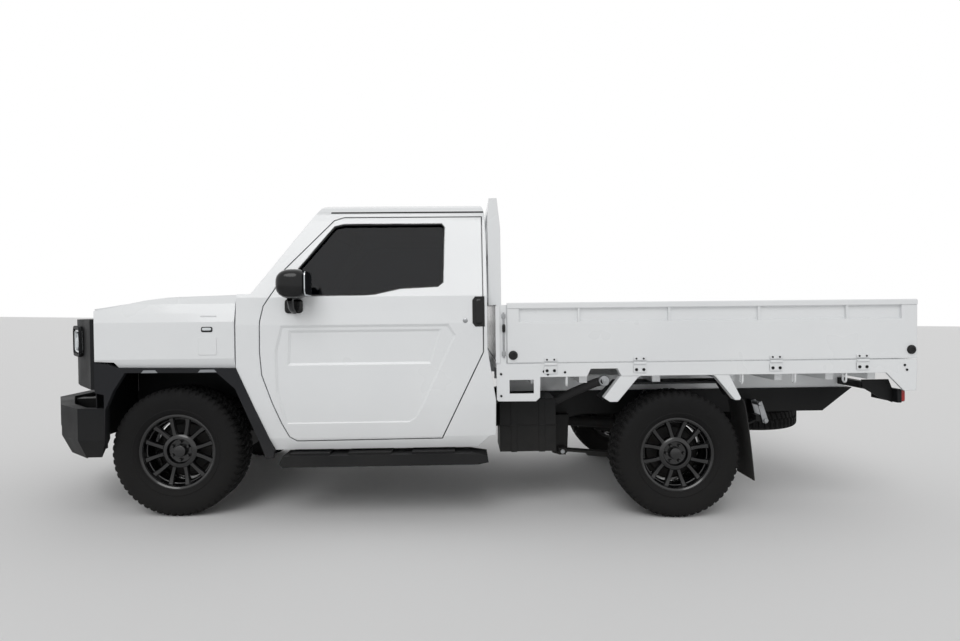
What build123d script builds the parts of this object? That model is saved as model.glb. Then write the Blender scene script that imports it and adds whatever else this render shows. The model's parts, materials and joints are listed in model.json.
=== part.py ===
"""Single-cab flat-bed pickup truck with drop sides, as separate named pieces.

Millimetres. While a piece is drawn, x runs rearward from the front axle, y to the
truck's right and z up from the ground. The sprung body is then tilted by the rake
and everything is moved so that the origin is the middle of the box on the ground.
"""

from build123d import *
from math import atan2, cos, degrees, radians, sin
import os

os.makedirs("parts", exist_ok=True)

# Driving dimensions of the whole truck
WHEELBASE = 2750.0
RAKE_DEG = 1.2
RAKE_PIVOT_Z = 348.0
CENTRE_X = 1573.8

# Wheels and tyres
AXLE_Z = 352.0
TYRE_RADIUS = 352.0
WHEEL_Y = 730.0
RIM_LIP_RADIUS = 207.0
RIM_BARREL_RADIUS = 190.5
SPOKE_PAIRS = 6
WHEEL_SIDES = 40

# Cab
CAB_HALF_WIDTH = 886.0
SILL_Z = 366.0
FLOOR_Z = 535.0
SHUT_GAP = 6.0
ROOF_SPLIT_Z = 1668.0
CAB_REAR_X = 1697.0

# Load bed
BED_FRONT_X = 1806.0
BED_REAR_X = 4088.0
BED_HALF_WIDTH = 860.0
DECK_TOP_Z = 815.0
RAIL_BOTTOM_Z = 741.0
GATE_TOP_Z = 1148.0
GATE_BOTTOM_Z = 821.0
GATE_THICK = 35.0


def side_prism(points, y_low, y_high, mode=Mode.ADD):
    """Extrude an outline of (x, z) points between two y values."""
    with BuildSketch(Plane.XZ.offset(-y_high)) as outline:
        with BuildLine():
            Polyline(*points, close=True)
        make_face()
    extrude(outline.sketch, amount=y_high - y_low, mode=mode)


def cross_prism(points, x_low, x_high, mode=Mode.ADD):
    """Extrude an outline of (y, z) points between two x values."""
    with BuildSketch(Plane.YZ.offset(x_low)) as outline:
        with BuildLine():
            Polyline(*points, close=True)
        make_face()
    extrude(outline.sketch, amount=x_high - x_low, mode=mode)


def plan_prism(points, z_low, z_high, mode=Mode.ADD, taper=0):
    """Extrude an outline of (x, y) points between two heights."""
    with BuildSketch(Plane.XY.offset(z_low)) as outline:
        with BuildLine():
            Polyline(*points, close=True)
        make_face()
    extrude(outline.sketch, amount=z_high - z_low, mode=mode, taper=taper)


def block(x_low, x_high, y_low, y_high, z_low, z_high, mode=Mode.ADD):
    """A box between stated limits."""
    with Locations(((x_low + x_high) / 2, (y_low + y_high) / 2, (z_low + z_high) / 2)):
        Box(x_high - x_low, y_high - y_low, z_high - z_low, mode=mode)


def rod(start, end, radius, mode=Mode.ADD):
    """A round bar from one point to another."""
    run = Vector(*end) - Vector(*start)
    with BuildSketch(Plane(origin=start, z_dir=run)) as outline:
        Circle(radius)
    extrude(outline.sketch, amount=run.length, mode=mode)


def turned(bands, sides=WHEEL_SIDES, mode=Mode.ADD):
    """A many-sided body through pairs of radius and height along z."""
    faces = []
    for radius, height in bands:
        with BuildSketch(Plane.XY.offset(height)) as section:
            RegularPolygon(radius, sides)
        faces.append(section.sketch.face())
    loft(faces, ruled=True, mode=mode)


def both_sides(points):
    """A symmetric outline from its half with y of at least 0, listed from the middle."""
    return points + [(-y, z) for y, z in reversed(points) if y > 0]


def both_sides_plan(points):
    """A symmetric (x, y) outline from its half with y of at least 0."""
    return points + [(x, -y) for x, y in reversed(points) if y > 0]


def keep(piece, node, sprung=True):
    """Tilt a sprung piece by the rake, move it to the shared origin and write it."""
    if sprung:
        piece.part = piece.part.rotate(Axis((0, 0, RAKE_PIVOT_Z), (0, 1, 0)), -RAKE_DEG)
    piece.part = piece.part.translate((-CENTRE_X, 0, 0))
    piece.part.label = node
    export_step(piece.part, f"parts/{node}.step")


# Cab outlines
# Outer side view, x and z
CAB_SIDE = [
    (347, 812), (546, SILL_Z), (1640, SILL_Z), (1700, 425), (1738, 433), (1740, 621),
    (CAB_REAR_X, 900), (CAB_REAR_X, 1490), (1691, 1660), (1676, 1712), (1650, 1735),
    (1300, 1742), (968, 1741), (864, 1732), (770, 1710), (712, 1678), (348, 1207), (347, 1207),
]
# Inner side view, x and z
CAB_SIDE_INNER = [
    (407, 1150), (407, 826), (509, 595), (1635, 595), (1635, 1690), (968, 1700),
    (868, 1682), (800, 1640), (462, 1203), (430, 1150),
]
# Half of the outer cross-section, y and z
CAB_SECTION = [
    (0, FLOOR_Z), (745, FLOOR_Z), (745, SILL_Z), (862, SILL_Z), (878, 430),
    (CAB_HALF_WIDTH, 600), (CAB_HALF_WIDTH, 1042), (876, 1110), (866, 1190), (730, 1618),
    (712, 1656), (672, 1696), (600, 1718), (300, 1736), (0, 1742),
]
# Half of the inner cross-section, y and z
CAB_SECTION_INNER = [
    (0, 595), (826, 595), (826, 1042), (806, 1190), (676, 1600), (655, 1650),
    (600, 1676), (0, 1700),
]
# What lies inboard of the doors, y and z
DOOR_CORE = [(0, 300), (821, 300), (821, 1042), (801, 1190), (671, 1600), (640, 1720), (0, 1720)]
DOOR_CORE_FIT = [(0, 300), (827, 300), (827, 1042), (807, 1190), (677, 1600), (646, 1720), (0, 1720)]
DOOR_SKIN_CORE = [
    (0, 300), (866, 300), (866, 1042), (846, 1190), (708, 1618), (690, 1656), (690, 1720), (0, 1720),
]

# Door skin, x and z
DOOR_OUTLINE = [
    (553, 1235), (495, 1143), (478, 1061), (476, 897), (486, 774), (538, 628), (587, 514),
    (627, 440), (667, 417), (1445, 421), (1672, 885), (1672, 1634), (905, 1634),
    (853, 1616), (598, 1342),
]
# Side glass opening, x and z
WINDOW_OUTLINE = [
    (705, 1196), (1028, 1199), (1091, 1204), (1227, 1233), (1431, 1243), (1458, 1265),
    (1467, 1579), (1451, 1597), (909, 1597), (856, 1584), (671, 1351), (676, 1206),
]

# The windscreen: its plane, and a plane square to the way up it
SCREEN_PLANE = Plane(origin=(579, 0, 1432), x_dir=(0, -1, 0), z_dir=(-436, 0, 338))
SLOPE_PLANE = Plane(origin=(579, 0, 1432), x_dir=(0, -1, 0), z_dir=(338, 0, 436))
SCREEN_BOW = 45.0
SCREEN_EDGE = 17.0
COWL_Z = 1210.0


def screen_arc(depth):
    """The bowed line across the windscreen, a depth behind its outer face."""
    return ThreePointArc((-900, SCREEN_EDGE + depth), (0, depth - SCREEN_BOW), (900, SCREEN_EDGE + depth))


# What the bowed front takes off the cab above the cowl
with BuildPart() as screen_cut:
    with BuildSketch(SLOPE_PLANE):
        with BuildLine():
            screen_arc(0)
            Polyline((900, SCREEN_EDGE), (900, -300), (-900, -300), (-900, SCREEN_EDGE))
        make_face()
    extrude(amount=700, both=True)
    block(-200, 1200, -950, 950, COWL_Z, 2100, mode=Mode.INTERSECT)

with BuildPart() as cab_outer:
    side_prism(CAB_SIDE, -950, 950)
    cross_prism(both_sides(CAB_SECTION), 300, 1800, mode=Mode.INTERSECT)
    add(screen_cut.part, mode=Mode.SUBTRACT)

# The shell without its front and rear walls
with BuildPart() as cab_sleeve:
    add(cab_outer.part)
    cross_prism(both_sides(CAB_SECTION_INNER), 300, 1800, mode=Mode.SUBTRACT)

# The front and rear walls
with BuildPart() as cab_ends:
    add(cab_outer.part)
    cross_prism(both_sides(CAB_SECTION_INNER), 300, 1800, mode=Mode.INTERSECT)
    side_prism(CAB_SIDE_INNER, -950, 950, mode=Mode.SUBTRACT)

# The opening that a door fills
with BuildPart() as door_openings:
    with BuildSketch(Plane.XZ.offset(-950)):
        with BuildLine():
            Polyline(*DOOR_OUTLINE, close=True)
        make_face()
        offset(amount=SHUT_GAP, kind=Kind.INTERSECTION)
    extrude(amount=1900)
    cross_prism(both_sides(DOOR_CORE), 300, 1800, mode=Mode.SUBTRACT)

with BuildPart() as cab_sides:
    add(cab_sleeve.part)
    block(300, 1800, -950, 950, ROOF_SPLIT_Z, 1800, mode=Mode.SUBTRACT)
    block(300, 1800, -745, 745, 300, 1000, mode=Mode.SUBTRACT)
    add(door_openings.part, mode=Mode.SUBTRACT)
keep(cab_sides, "cab_sides")

with BuildPart() as cab_floor:
    add(cab_sleeve.part)
    block(300, 1800, -745, 745, 300, 1000, mode=Mode.INTERSECT)
keep(cab_floor, "cab_floor")

with BuildPart() as cab_roof:
    add(cab_sleeve.part)
    block(300, 1800, -950, 950, ROOF_SPLIT_Z, 1800, mode=Mode.INTERSECT)
keep(cab_roof, "cab_roof")

# Windscreen opening, across and up the sloping pane
SCREEN_OUTLINE = [(-770, -215), (770, -215), (652, 225), (-652, 225)]
REAR_WINDOW_OUTLINE = [(-600, 1240), (600, 1240), (560, 1560), (-560, 1560)]

with BuildPart() as cab_front:
    add(cab_ends.part)
    block(300, 1000, -950, 950, 300, 1800, mode=Mode.INTERSECT)
    with BuildSketch(SCREEN_PLANE):
        with BuildLine():
            Polyline(*SCREEN_OUTLINE, close=True)
        make_face()
    extrude(amount=120, both=True, mode=Mode.SUBTRACT)
keep(cab_front, "cab_front")

with BuildPart() as cab_rear:
    add(cab_ends.part)
    block(1000, 1800, -950, 950, 300, 1800, mode=Mode.INTERSECT)
    cross_prism(REAR_WINDOW_OUTLINE, 1500, 1800, mode=Mode.SUBTRACT)
keep(cab_rear, "cab_rear")

with BuildPart() as cab_glass:
    with BuildSketch(SLOPE_PLANE):
        with BuildLine():
            screen_arc(14)
            Line((900, SCREEN_EDGE + 14), (900, SCREEN_EDGE + 20))
            screen_arc(20)
            Line((-900, SCREEN_EDGE + 20), (-900, SCREEN_EDGE + 14))
        make_face()
    extrude(amount=400, both=True)
    with BuildSketch(SCREEN_PLANE):
        with BuildLine():
            Polyline(*SCREEN_OUTLINE, close=True)
        make_face()
        offset(amount=-0.5, kind=Kind.INTERSECTION)
    extrude(amount=120, both=True, mode=Mode.INTERSECT)
    with BuildSketch(Plane.YZ.offset(1675)):
        with BuildLine():
            Polyline(*REAR_WINDOW_OUTLINE, close=True)
        make_face()
        offset(amount=-0.5, kind=Kind.INTERSECTION)
    extrude(amount=6)
keep(cab_glass, "cab_glass")

# Sunk panels pressed into the door skin: outline in x and z, depth
DOOR_PANELS = [
    ([(585, 1040), (1488, 1040), (1529, 977), (1316, 529), (1275, 500), (607, 500), (556, 680), (552, 900)], 9),
    ([(612, 1026), (1470, 1026), (1402, 808), (604, 808)], 17),
]
PANEL_DRAFT = 58
# A pane 6 thick, 18 inboard of the skin, y and z
PANE = [(848, 1190), (842, 1190), (706, 1618), (712, 1618)]
# Mirror head, x and z
MIRROR_HEAD = [
    (600, 1205), (640, 1178), (755, 1178), (766, 1215), (764, 1279), (742, 1324), (672, 1334), (606, 1290),
]

# Doors, their panes and mirrors
for side, name in ((-1, "left"), (1, "right")):
    y_low, y_high = sorted((side * 500, side * 950))
    with BuildPart() as door:
        add(cab_outer.part)
        side_prism(DOOR_OUTLINE, y_low, y_high, mode=Mode.INTERSECT)
        cross_prism(both_sides(DOOR_CORE_FIT), 300, 1800, mode=Mode.SUBTRACT)
        cross_prism(both_sides(DOOR_SKIN_CORE), 1648, 1700, mode=Mode.SUBTRACT)
        side_prism(WINDOW_OUTLINE, y_low, y_high, mode=Mode.SUBTRACT)
        for outline, depth in DOOR_PANELS:
            skin = Plane(origin=(0, side * (CAB_HALF_WIDTH + 1), 0), x_dir=(1, 0, 0), z_dir=(0, -side, 0))
            with BuildSketch(skin):
                with BuildLine():
                    Polyline(*[(x, side * z) for x, z in outline], close=True)
                make_face()
            extrude(amount=depth, taper=PANEL_DRAFT, mode=Mode.SUBTRACT)
    keep(door, f"door_{name}")

    with BuildPart() as door_glass:
        cross_prism([(side * y, z) for y, z in PANE], 600, 1500)
        with BuildSketch(Plane.XZ.offset(-y_high)):
            with BuildLine():
                Polyline(*WINDOW_OUTLINE, close=True)
            make_face()
            offset(amount=-0.5, kind=Kind.INTERSECTION)
        extrude(amount=y_high - y_low, mode=Mode.INTERSECT)
    keep(door_glass, f"door_glass_{name}")

    with BuildPart() as door_mirror:
        side_prism(MIRROR_HEAD, *sorted((side * 905, side * 1075)))
        block(612, 706, *sorted((side * 888, side * 930)), 1104, 1178)
    keep(door_mirror, f"mirror_{name}")

# Hood and front wings
# Half of the nose in plan at hood height, x and y
HOOD_NOSE = [(-775, 0), (-762, 150), (-690, 350), (-546, 606), (-462, 764)]
# Sections of the crowned hood: x, half width, side z, middle z
HOOD_SECTIONS = [(-790, 764, 1092, 1104), (-400, 764, 1146, 1166), (-63, 764, 1197, 1217), (338, 764, 1209, 1226)]
HOOD_SKIN = 30.0


def crowned(sections, drop, inset):
    """A body under a lofted crown, lowered and narrowed by stated amounts."""
    faces = []
    for x, half, z_side, z_middle in sections:
        width = half - inset
        with BuildSketch(Plane.YZ.offset(x)) as section:
            with BuildLine():
                ThreePointArc((-width, z_side - drop), (0, z_middle - drop), (width, z_side - drop))
                Polyline((width, z_side - drop), (width, 1000), (-width, 1000), (-width, z_side - drop))
            make_face()
        faces.append(section.sketch.face())
    return faces


with BuildPart() as hood_core:
    loft(crowned(HOOD_SECTIONS, HOOD_SKIN, 38), ruled=True)

with BuildPart() as hood:
    loft(crowned(HOOD_SECTIONS, 0, 0), ruled=True)
    add(hood_core.part, mode=Mode.SUBTRACT)
    plan_prism(both_sides_plan(HOOD_NOSE + [(338, 764)]), 1084, 1300, mode=Mode.INTERSECT)
keep(hood, "hood")

WING_SIDE = [(-500, 860), (-300, 850), (-279, 822), (340, 813), (340, 1206), (153, 1200), (-63, 1192), (-148, 1181), (-400, 1127), (-500, 1110)]
WING_SECTION = [
    (700, 813), (868, 813), (886, 866), (886, 1062), (872, 1110), (856, 1160), (820, 1210),
    (770, 1210), (770, 1120), (820, 1120), (846, 1050), (846, 850), (700, 850),
]
with BuildPart() as wings:
    for side in (-1, 1):
        cross_prism([(side * y, z) for y, z in WING_SECTION], -500, 340)
    side_prism(WING_SIDE, -950, 950, mode=Mode.INTERSECT)
    plan_prism([(-400, 886), (-460, 770), (-460, -770), (-400, -886), (400, -900), (400, 900)], 700, 1300, mode=Mode.INTERSECT)
keep(wings, "wings")

# Grille panel, x and y of half of its plan
GRILLE_NOSE = [(-800, 0), (-794, 330), (-715, 500), (-640, 606), (-482, 794), (-454, 828)]
GRILLE_BACK = [(-380, 828), (-430, 770), (-580, 570), (-660, 460), (-734, 310), (-740, 0)]
# Bars across the mouth: bottom z
GRILLE_BARS = [880, 928, 976, 1024]
# Headlamps: middle of the lens on the nose, its plan direction, width and height
LAMP_PLACE = (-652, 592, 955)
LAMP_FACING = (-0.80, 0.60)
LAMP_SIZE = (236, 138)


def lamp_plane(side):
    """The plane that one headlamp's lens lies on, looking out of the nose."""
    x, y, z = LAMP_PLACE
    ahead, across = LAMP_FACING
    return Plane(origin=(x, side * y, z), x_dir=(across, -side * ahead, 0), z_dir=(ahead, side * across, 0))


with BuildPart() as grille:
    plan_prism(GRILLE_NOSE + GRILLE_BACK, 700, 1080)
    mirror(about=Plane.XZ)
    block(-900, -742, -425, 425, 866, 1056, mode=Mode.SUBTRACT)
    block(-900, -742, -330, 330, 730, 826, mode=Mode.SUBTRACT)
    for z in GRILLE_BARS:
        block(-776, -735, -430, 430, z, z + 18)
    block(-784, -735, -9, 9, 860, 1060)
    for side in (-1, 1):
        with BuildSketch(lamp_plane(side)):
            RectangleRounded(LAMP_SIZE[0] + 34, LAMP_SIZE[1] + 34, 40)
        extrude(amount=16)
        with BuildSketch(lamp_plane(side)):
            RectangleRounded(LAMP_SIZE[0] + 2, LAMP_SIZE[1] + 2, 28)
        extrude(amount=40, mode=Mode.SUBTRACT)
        with BuildSketch(lamp_plane(side)):
            RectangleRounded(LAMP_SIZE[0] + 2, LAMP_SIZE[1] + 2, 28)
        extrude(amount=-20, mode=Mode.SUBTRACT)
keep(grille, "grille")

# Lamps, at the nose's corners and under the rear of the bed
with BuildPart() as lamps:
    for side in (-1, 1):
        with BuildSketch(lamp_plane(side)):
            RectangleRounded(*LAMP_SIZE, 27)
        extrude(amount=10)
        block(3985, 4034, *sorted((side * 600, side * 838)), 568, 646)
keep(lamps, "lamps")

# Bumper: nose in plan, then what it is hollowed by
BUMPER_NOSE = [(-918, 0), (-918, 345), (-860, 432), (-690, 705), (-498, 880), (-352, 880)]
BUMPER_INNER = [(-838, 0), (-838, 330), (-790, 415), (-630, 680), (-472, 835), (-300, 835)]
# Its levels: lower z, upper z, draft
BUMPER_LEVELS = [(435, 605, 0), (605, 677, 38), (435, 330, 24)]
with BuildPart() as bumper:
    for z_low, z_high, draft in BUMPER_LEVELS:
        plan_prism(both_sides_plan(BUMPER_NOSE), z_low, z_high, taper=draft)
    plan_prism(both_sides_plan(BUMPER_INNER), 200, 800, mode=Mode.SUBTRACT)
    block(-960, -700, -290, 290, 455, 545, mode=Mode.SUBTRACT)
    block(-862, -836, -300, 300, 492, 508)
    for side in (-1, 1):
        block(-960, -852, *sorted((side * 372, side * 420)), 470, 560, mode=Mode.SUBTRACT)
keep(bumper, "bumper")

# Wheel-arch trims
FLARE = [
    (-398, 848), (-332, 842), (-279, 821), (346, 812), (545, 366), (540, 328), (500, 328),
    (472, 404), (343, 702), (247, 789), (-238, 795), (-300, 700), (-344, 600), (-350, 390),
    (-350, 679), (-398, 690),
]
with BuildPart() as flares:
    for side in (-1, 1):
        side_prism(FLARE, *sorted((side * 862, side * 893)))
keep(flares, "flares")

# Side steps, x and z, and their treads: middle x and width
STEP_SIDE = [(580, 300), (600, 345), (1600, 345), (1690, 330), (1695, 296), (1640, 285), (600, 285)]
STEP_TREADS = [(740, 210), (1060, 230), (1400, 230)]
with BuildPart() as side_steps:
    for side in (-1, 1):
        side_prism(STEP_SIDE, *sorted((side * 770, side * 935)))
        for x, width in STEP_TREADS:
            block(x - width / 2, x + width / 2, *sorted((side * 800, side * 915)), 344, 355)
        for x in (760, 1480):
            block(x - 25, x + 25, *sorted((side * 430, side * 780)), 300, 340)
            block(x - 25, x + 25, *sorted((side * 412, side * 450)), 300, 400)
keep(side_steps, "side_steps")

# Interior
with BuildPart() as dashboard:
    side_prism([(470, 900), (620, 850), (700, 900), (700, 1060), (620, 1120), (436, 1145), (412, 1145), (412, 1000)], -800, 800)
    rod((640, 370, 931), (811, 370, 1011), 24)
keep(dashboard, "dashboard")

# Steering wheel: ring radius, grip radius, tilt from upright
STEER_RING = 180.0
STEER_GRIP = 14.0
WHEEL_TILT = 25
with BuildPart() as steering_wheel:
    with BuildSketch(Plane.XZ) as grip:
        with Locations((STEER_RING, 0)):
            RegularPolygon(STEER_GRIP, 8)
    with BuildLine() as ring_path:
        Polyline(*[
            (STEER_RING * cos(radians(turn)), STEER_RING * sin(radians(turn)), 0) for turn in range(0, 360, 12)
        ], close=True)
    sweep(grip.sketch, path=ring_path.wire(), transition=Transition.RIGHT)
    turned([(45, -15), (45, 15)], 16)
    for angle in (90, 210, 330):
        with Locations(Location((100 * cos(radians(angle)), 100 * sin(radians(angle)), 0), (0, 0, angle))):
            Box(165, 30, 14)
    steering_wheel.part = steering_wheel.part.moved(Location((830, 370, 1020), (0, 90 - WHEEL_TILT, 0)))
keep(steering_wheel, "steering_wheel")

with BuildPart() as seat:
    side_prism([(980, 790), (1000, 740), (1500, 700), (1560, 760), (1450, 860), (1000, 890)], -660, 660)
    side_prism([(1440, 865), (1520, 800), (1600, 1330), (1530, 1350)], -660, 660)
    side_prism([(1040, 595), (1480, 595), (1480, 715), (1040, 745)], -600, 600)
keep(seat, "seat")

# Ladder frame
RAIL_SIDE = [
    (-780, 600), (-350, 600), (100, 520), (1700, 520), (2100, 606), (3990, 606),
    (3802, 462), (2300, 462), (2000, 400), (1500, 390), (150, 390), (-350, 470), (-780, 470),
]
# Cross members: x centre, width, bottom z, top z
CROSS_MEMBERS = [
    (-740, 60, 480, 590), (450, 60, 396, 426), (930, 60, 486, 520), (1240, 60, 480, 518),
    (1760, 60, 480, 518), (2330, 60, 500, 600), (2820, 60, 520, 600), (3300, 60, 530, 600),
    (3780, 60, 530, 600),
]
# Plate that holds the tail lamp, x and z
LAMP_CARRIER = [(3807, 697), (3812, 652), (3900, 600), (3983, 566), (3983, 640), (3960, 697)]
with BuildPart() as frame:
    for side in (-1, 1):
        side_prism(RAIL_SIDE, *sorted((side * 340, side * 410)))
        side_prism(LAMP_CARRIER, *sorted((side * 790, side * 798)))
        block(3900, 3940, *sorted((side * 405, side * 794)), 628, 668)
    for x, width, z_low, z_high in CROSS_MEMBERS:
        block(x - width / 2, x + width / 2, -341, 341, z_low, z_high)
keep(frame, "frame")

# Engine, gearbox and propeller shaft
with BuildPart() as powertrain:
    block(-480, 130, -230, 230, 430, 930)
    side_prism([(130, 430), (130, 720), (330, 720), (380, 600), (420, 520), (900, 520), (900, 430)], -140, 140)
    rod((890, 0, 450), (2600, 0, 330), 36)
keep(powertrain, "powertrain")

# Rear axle on the ground side of the springs: radius and distance along it from its left end
AXLE_BANDS = [(150, -630), (150, -610), (60, -606), (42, -560), (42, -150), (128, -60), (128, 60), (42, 150)]
with BuildPart() as rear_axle:
    turned(AXLE_BANDS + [(42, 560), (60, 606), (150, 610), (150, 630)], 24)
    rear_axle.part = rear_axle.part.moved(Location((WHEELBASE, 0, AXLE_Z), (90, 0, 0)))
keep(rear_axle, "rear_axle", sprung=False)

# Leaf springs and front arms
# Lower edge of the main leaf, x and z, and shorter leaves beneath it: first x, last x, top z
LEAF_LINE = [(2150, 262), (2400, 240), (2700, 226), (2800, 226), (3080, 304), (3330, 432)]
LEAF_THICK = 14
SHORT_LEAVES = [(2300, 3090, 1), (2430, 2980, 2), (2560, 2900, 3)]


def leaf(x_first, x_last, number):
    """One leaf's side outline: the main line between two x values, lowered leaf by leaf."""
    inner = [(x, z) for x, z in LEAF_LINE if x_first < x < x_last]
    line = [(x, z - LEAF_THICK * number) for x, z in [(x_first, leaf_z(x_first))] + inner + [(x_last, leaf_z(x_last))]]
    return line + [(x, z + LEAF_THICK - 0.5) for x, z in reversed(line)]


def leaf_z(x):
    """Height of the main leaf's line at an x value."""
    for (x0, z0), (x1, z1) in zip(LEAF_LINE, LEAF_LINE[1:]):
        if x0 <= x <= x1:
            return z0 + (z1 - z0) * (x - x0) / (x1 - x0)


with BuildPart() as suspension:
    for side in (-1, 1):
        width = sorted((side * 484, side * 546))
        side_prism(leaf(2150, 3330, 0), *width)
        for first, last, number in SHORT_LEAVES:
            side_prism(leaf(first, last, number), *sorted((side * 484, side * 546)))
        block(2690, 2810, *sorted((side * 476, side * 554)), 160, 182.5)
        side_prism([(2100, 240), (2100, 470), (2200, 470), (2190, 240), (2150, 226)], *sorted((side * 411, side * 478)))
        side_prism([(2130, 244), (2130, 284), (2170, 284), (2170, 244)], *sorted((side * 476, side * 552)))
        side_prism([(3320, 540), (3350, 540), (3386, 430), (3364, 414), (3340, 430)], *sorted((side * 411, side * 470)))
        block(3316, 3352, *sorted((side * 466, side * 552)), 426, 462)
        rod((2900, side * 440, 300), (2660, side * 440, 596), 26)
        plan_prism([(x, side * y) for x, y in ((-26, 636), (-160, 350), (160, 350), (26, 636))], 188, 214)
        plan_prism([(x, side * y) for x, y in ((-22, 632), (-110, 415), (110, 415), (22, 632))], 496, 512)
    block(-110, 110, -350, 350, 200, 380)
keep(suspension, "suspension")

# Fuel tank, exhaust
with BuildPart() as fuel_tank:
    block(1770, 2090, -700, -420, 300, 600)
keep(fuel_tank, "fuel_tank")

with BuildPart() as exhaust:
    rod((150, 255, 366), (1300, 255, 366), 26)
    with Locations(Location((1500, 255, 376), (0, 90, 0))):
        Cylinder(72, 420)
    rod((1700, 255, 366), (2250, 255, 366), 26)
keep(exhaust, "exhaust")

with BuildPart() as spare_wheel:
    turned([(300, -100), (340, -70), (340, 70), (300, 100)])
    turned([(205, -110), (190, 0)], mode=Mode.SUBTRACT)
    turned([(205, 110), (190, 0)], mode=Mode.SUBTRACT)
    turned([(192, -30), (192, 10)])
    turned([(60, -60), (60, 60)], 24, mode=Mode.SUBTRACT)
    spare_wheel.part = spare_wheel.part.moved(Location((3470, 0, 420)))
keep(spare_wheel, "spare_wheel")

# Load bed
# Side rail with the notch for the filler, x and z
RAIL_SIDE_VIEW = [
    (1746, RAIL_BOTTOM_Z), (2241, RAIL_BOTTOM_Z), (2262, 783), (2410, 783), (2431, RAIL_BOTTOM_Z),
    (BED_REAR_X - 8, RAIL_BOTTOM_Z), (BED_REAR_X - 8, DECK_TOP_Z), (1746, DECK_TOP_Z),
]
# Plates hanging from the rail, x and z: front bracket, its window, rear gusset
FRONT_BRACKET = [(1746, 620), (1754, 611), (1960, 609), (1982, 629), (1985, 742), (1746, 742)]
BRACKET_WINDOW = [(1816, 652), (1949, 652), (1949, 727), (1816, 727)]
REAR_GUSSET = [(3904, 744), (4006, 640), (4074, 640), (4080, 744)]
# Deck cross bearers: x centre
BEARERS = [1960, 2230, 2640, 3060, 3330, 3620, 3860]
# Hinge leaves: x centre
HINGES = [2041, 2532, 3287, 3772]
HINGE_HALF = 36
PLATE_Y = 845
with BuildPart() as bed_deck:
    block(BED_FRONT_X - 60, BED_REAR_X - 8, -800, 800, 780, DECK_TOP_Z)
    for side in (-1, 1):
        rail = sorted((side * 800, side * BED_HALF_WIDTH))
        plate = sorted((side * PLATE_Y, side * BED_HALF_WIDTH))
        side_prism(RAIL_SIDE_VIEW, *rail)
        side_prism(FRONT_BRACKET, *plate)
        side_prism(BRACKET_WINDOW, *sorted((side * 840, side * 870)), mode=Mode.SUBTRACT)
        block(1746, 1800, *rail, DECK_TOP_Z, 1137)
        block(1742, 1766, *sorted((side * 852, side * 866)), 820, 1132)
        side_prism(REAR_GUSSET, *plate)
        for x in HINGES:
            block(x - HINGE_HALF, x + HINGE_HALF, *sorted((side * 858, side * 865)), 762, 800)
    for x in BEARERS:
        block(x - 22, x + 22, -800, 800, 700, 780)
    for side in (-1, 1):
        block(1790, 3950, *sorted((side * 350, side * 400)), 607, 700)
keep(bed_deck, "bed_deck")

# Headboard: side post, x and z, and the y of its upright bars
HEAD_POST = [(1708, 1137), (1778, 1137), (1776, 1563), (1758, 1728), (1714, 1728), (1706, 1619)]
HEAD_BARS = [-608, -456, -304, -152, 0, 152, 304, 456, 608]
with BuildPart() as headboard:
    for side in (-1, 1):
        side_prism(HEAD_POST, *sorted((side * 756, side * 798)))
    block(1714, 1756, -758, 758, 1684, 1728)
    block(1716, 1770, -758, 758, 1137, 1182)
    block(1718, 1758, -758, 758, 1420, 1452)
    for y in HEAD_BARS:
        block(1726, 1750, y - 12, y + 12, 1180, 1686)
    block(1752, 1792, -798, 798, GATE_BOTTOM_Z, 1137)
keep(headboard, "headboard")

# Drop sides and tailgate: ribs at these x
GATE_RIBS = [2198, 2697, 3195, 3687]
GATE_FRONT_X = BED_FRONT_X
GATE_REAR_X = 4080.0
# Outer skin of a drop side from its lower edge to the lip of its top rail: half-width offset and z
GATE_SECTION = [
    (0, GATE_BOTTOM_Z), (0, 1040), (-15, 1047), (-15, 1112), (4, 1118), (4, GATE_TOP_Z - 6), (-4, GATE_TOP_Z),
    (-GATE_THICK, GATE_TOP_Z), (-GATE_THICK, GATE_BOTTOM_Z),
]
for side, name in ((-1, "left"), (1, "right")):
    with BuildPart() as gate:
        outline = [(side * (BED_HALF_WIDTH + out), z) for out, z in GATE_SECTION]
        cross_prism(outline, GATE_FRONT_X, GATE_REAR_X)
        for x_low, x_high in ((GATE_FRONT_X, 1871), (3992, GATE_REAR_X)):
            block(x_low, x_high, *sorted((side * 840, side * BED_HALF_WIDTH)), 1040, 1120)
        for x in GATE_RIBS:
            block(x - 6, x + 6, *sorted((side * 842, side * BED_HALF_WIDTH)), 1040, 1120)
        for x in HINGES:
            block(x - HINGE_HALF, x + HINGE_HALF, *sorted((side * 858, side * 864)), 826, 842)
    keep(gate, f"gate_{name}")

# Tailgate section, x and z, and its pressed panel
TAILGATE_SECTION = [
    (4045, GATE_BOTTOM_Z), (4045, GATE_TOP_Z), (4076, GATE_TOP_Z), (4084, GATE_TOP_Z - 6), (4084, 1118),
    (4068, 1112), (4068, 1047), (4080, 1040), (4080, GATE_BOTTOM_Z),
]
with BuildPart() as tailgate:
    side_prism(TAILGATE_SECTION, -818, 818)
    for side in (-1, 1):
        block(4060, 4080, *sorted((side * 730, side * 818)), 1040, 1120)
        block(4060, 4080, *sorted((side * 236, side * 248)), 1040, 1120)
keep(tailgate, "tailgate")

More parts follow.
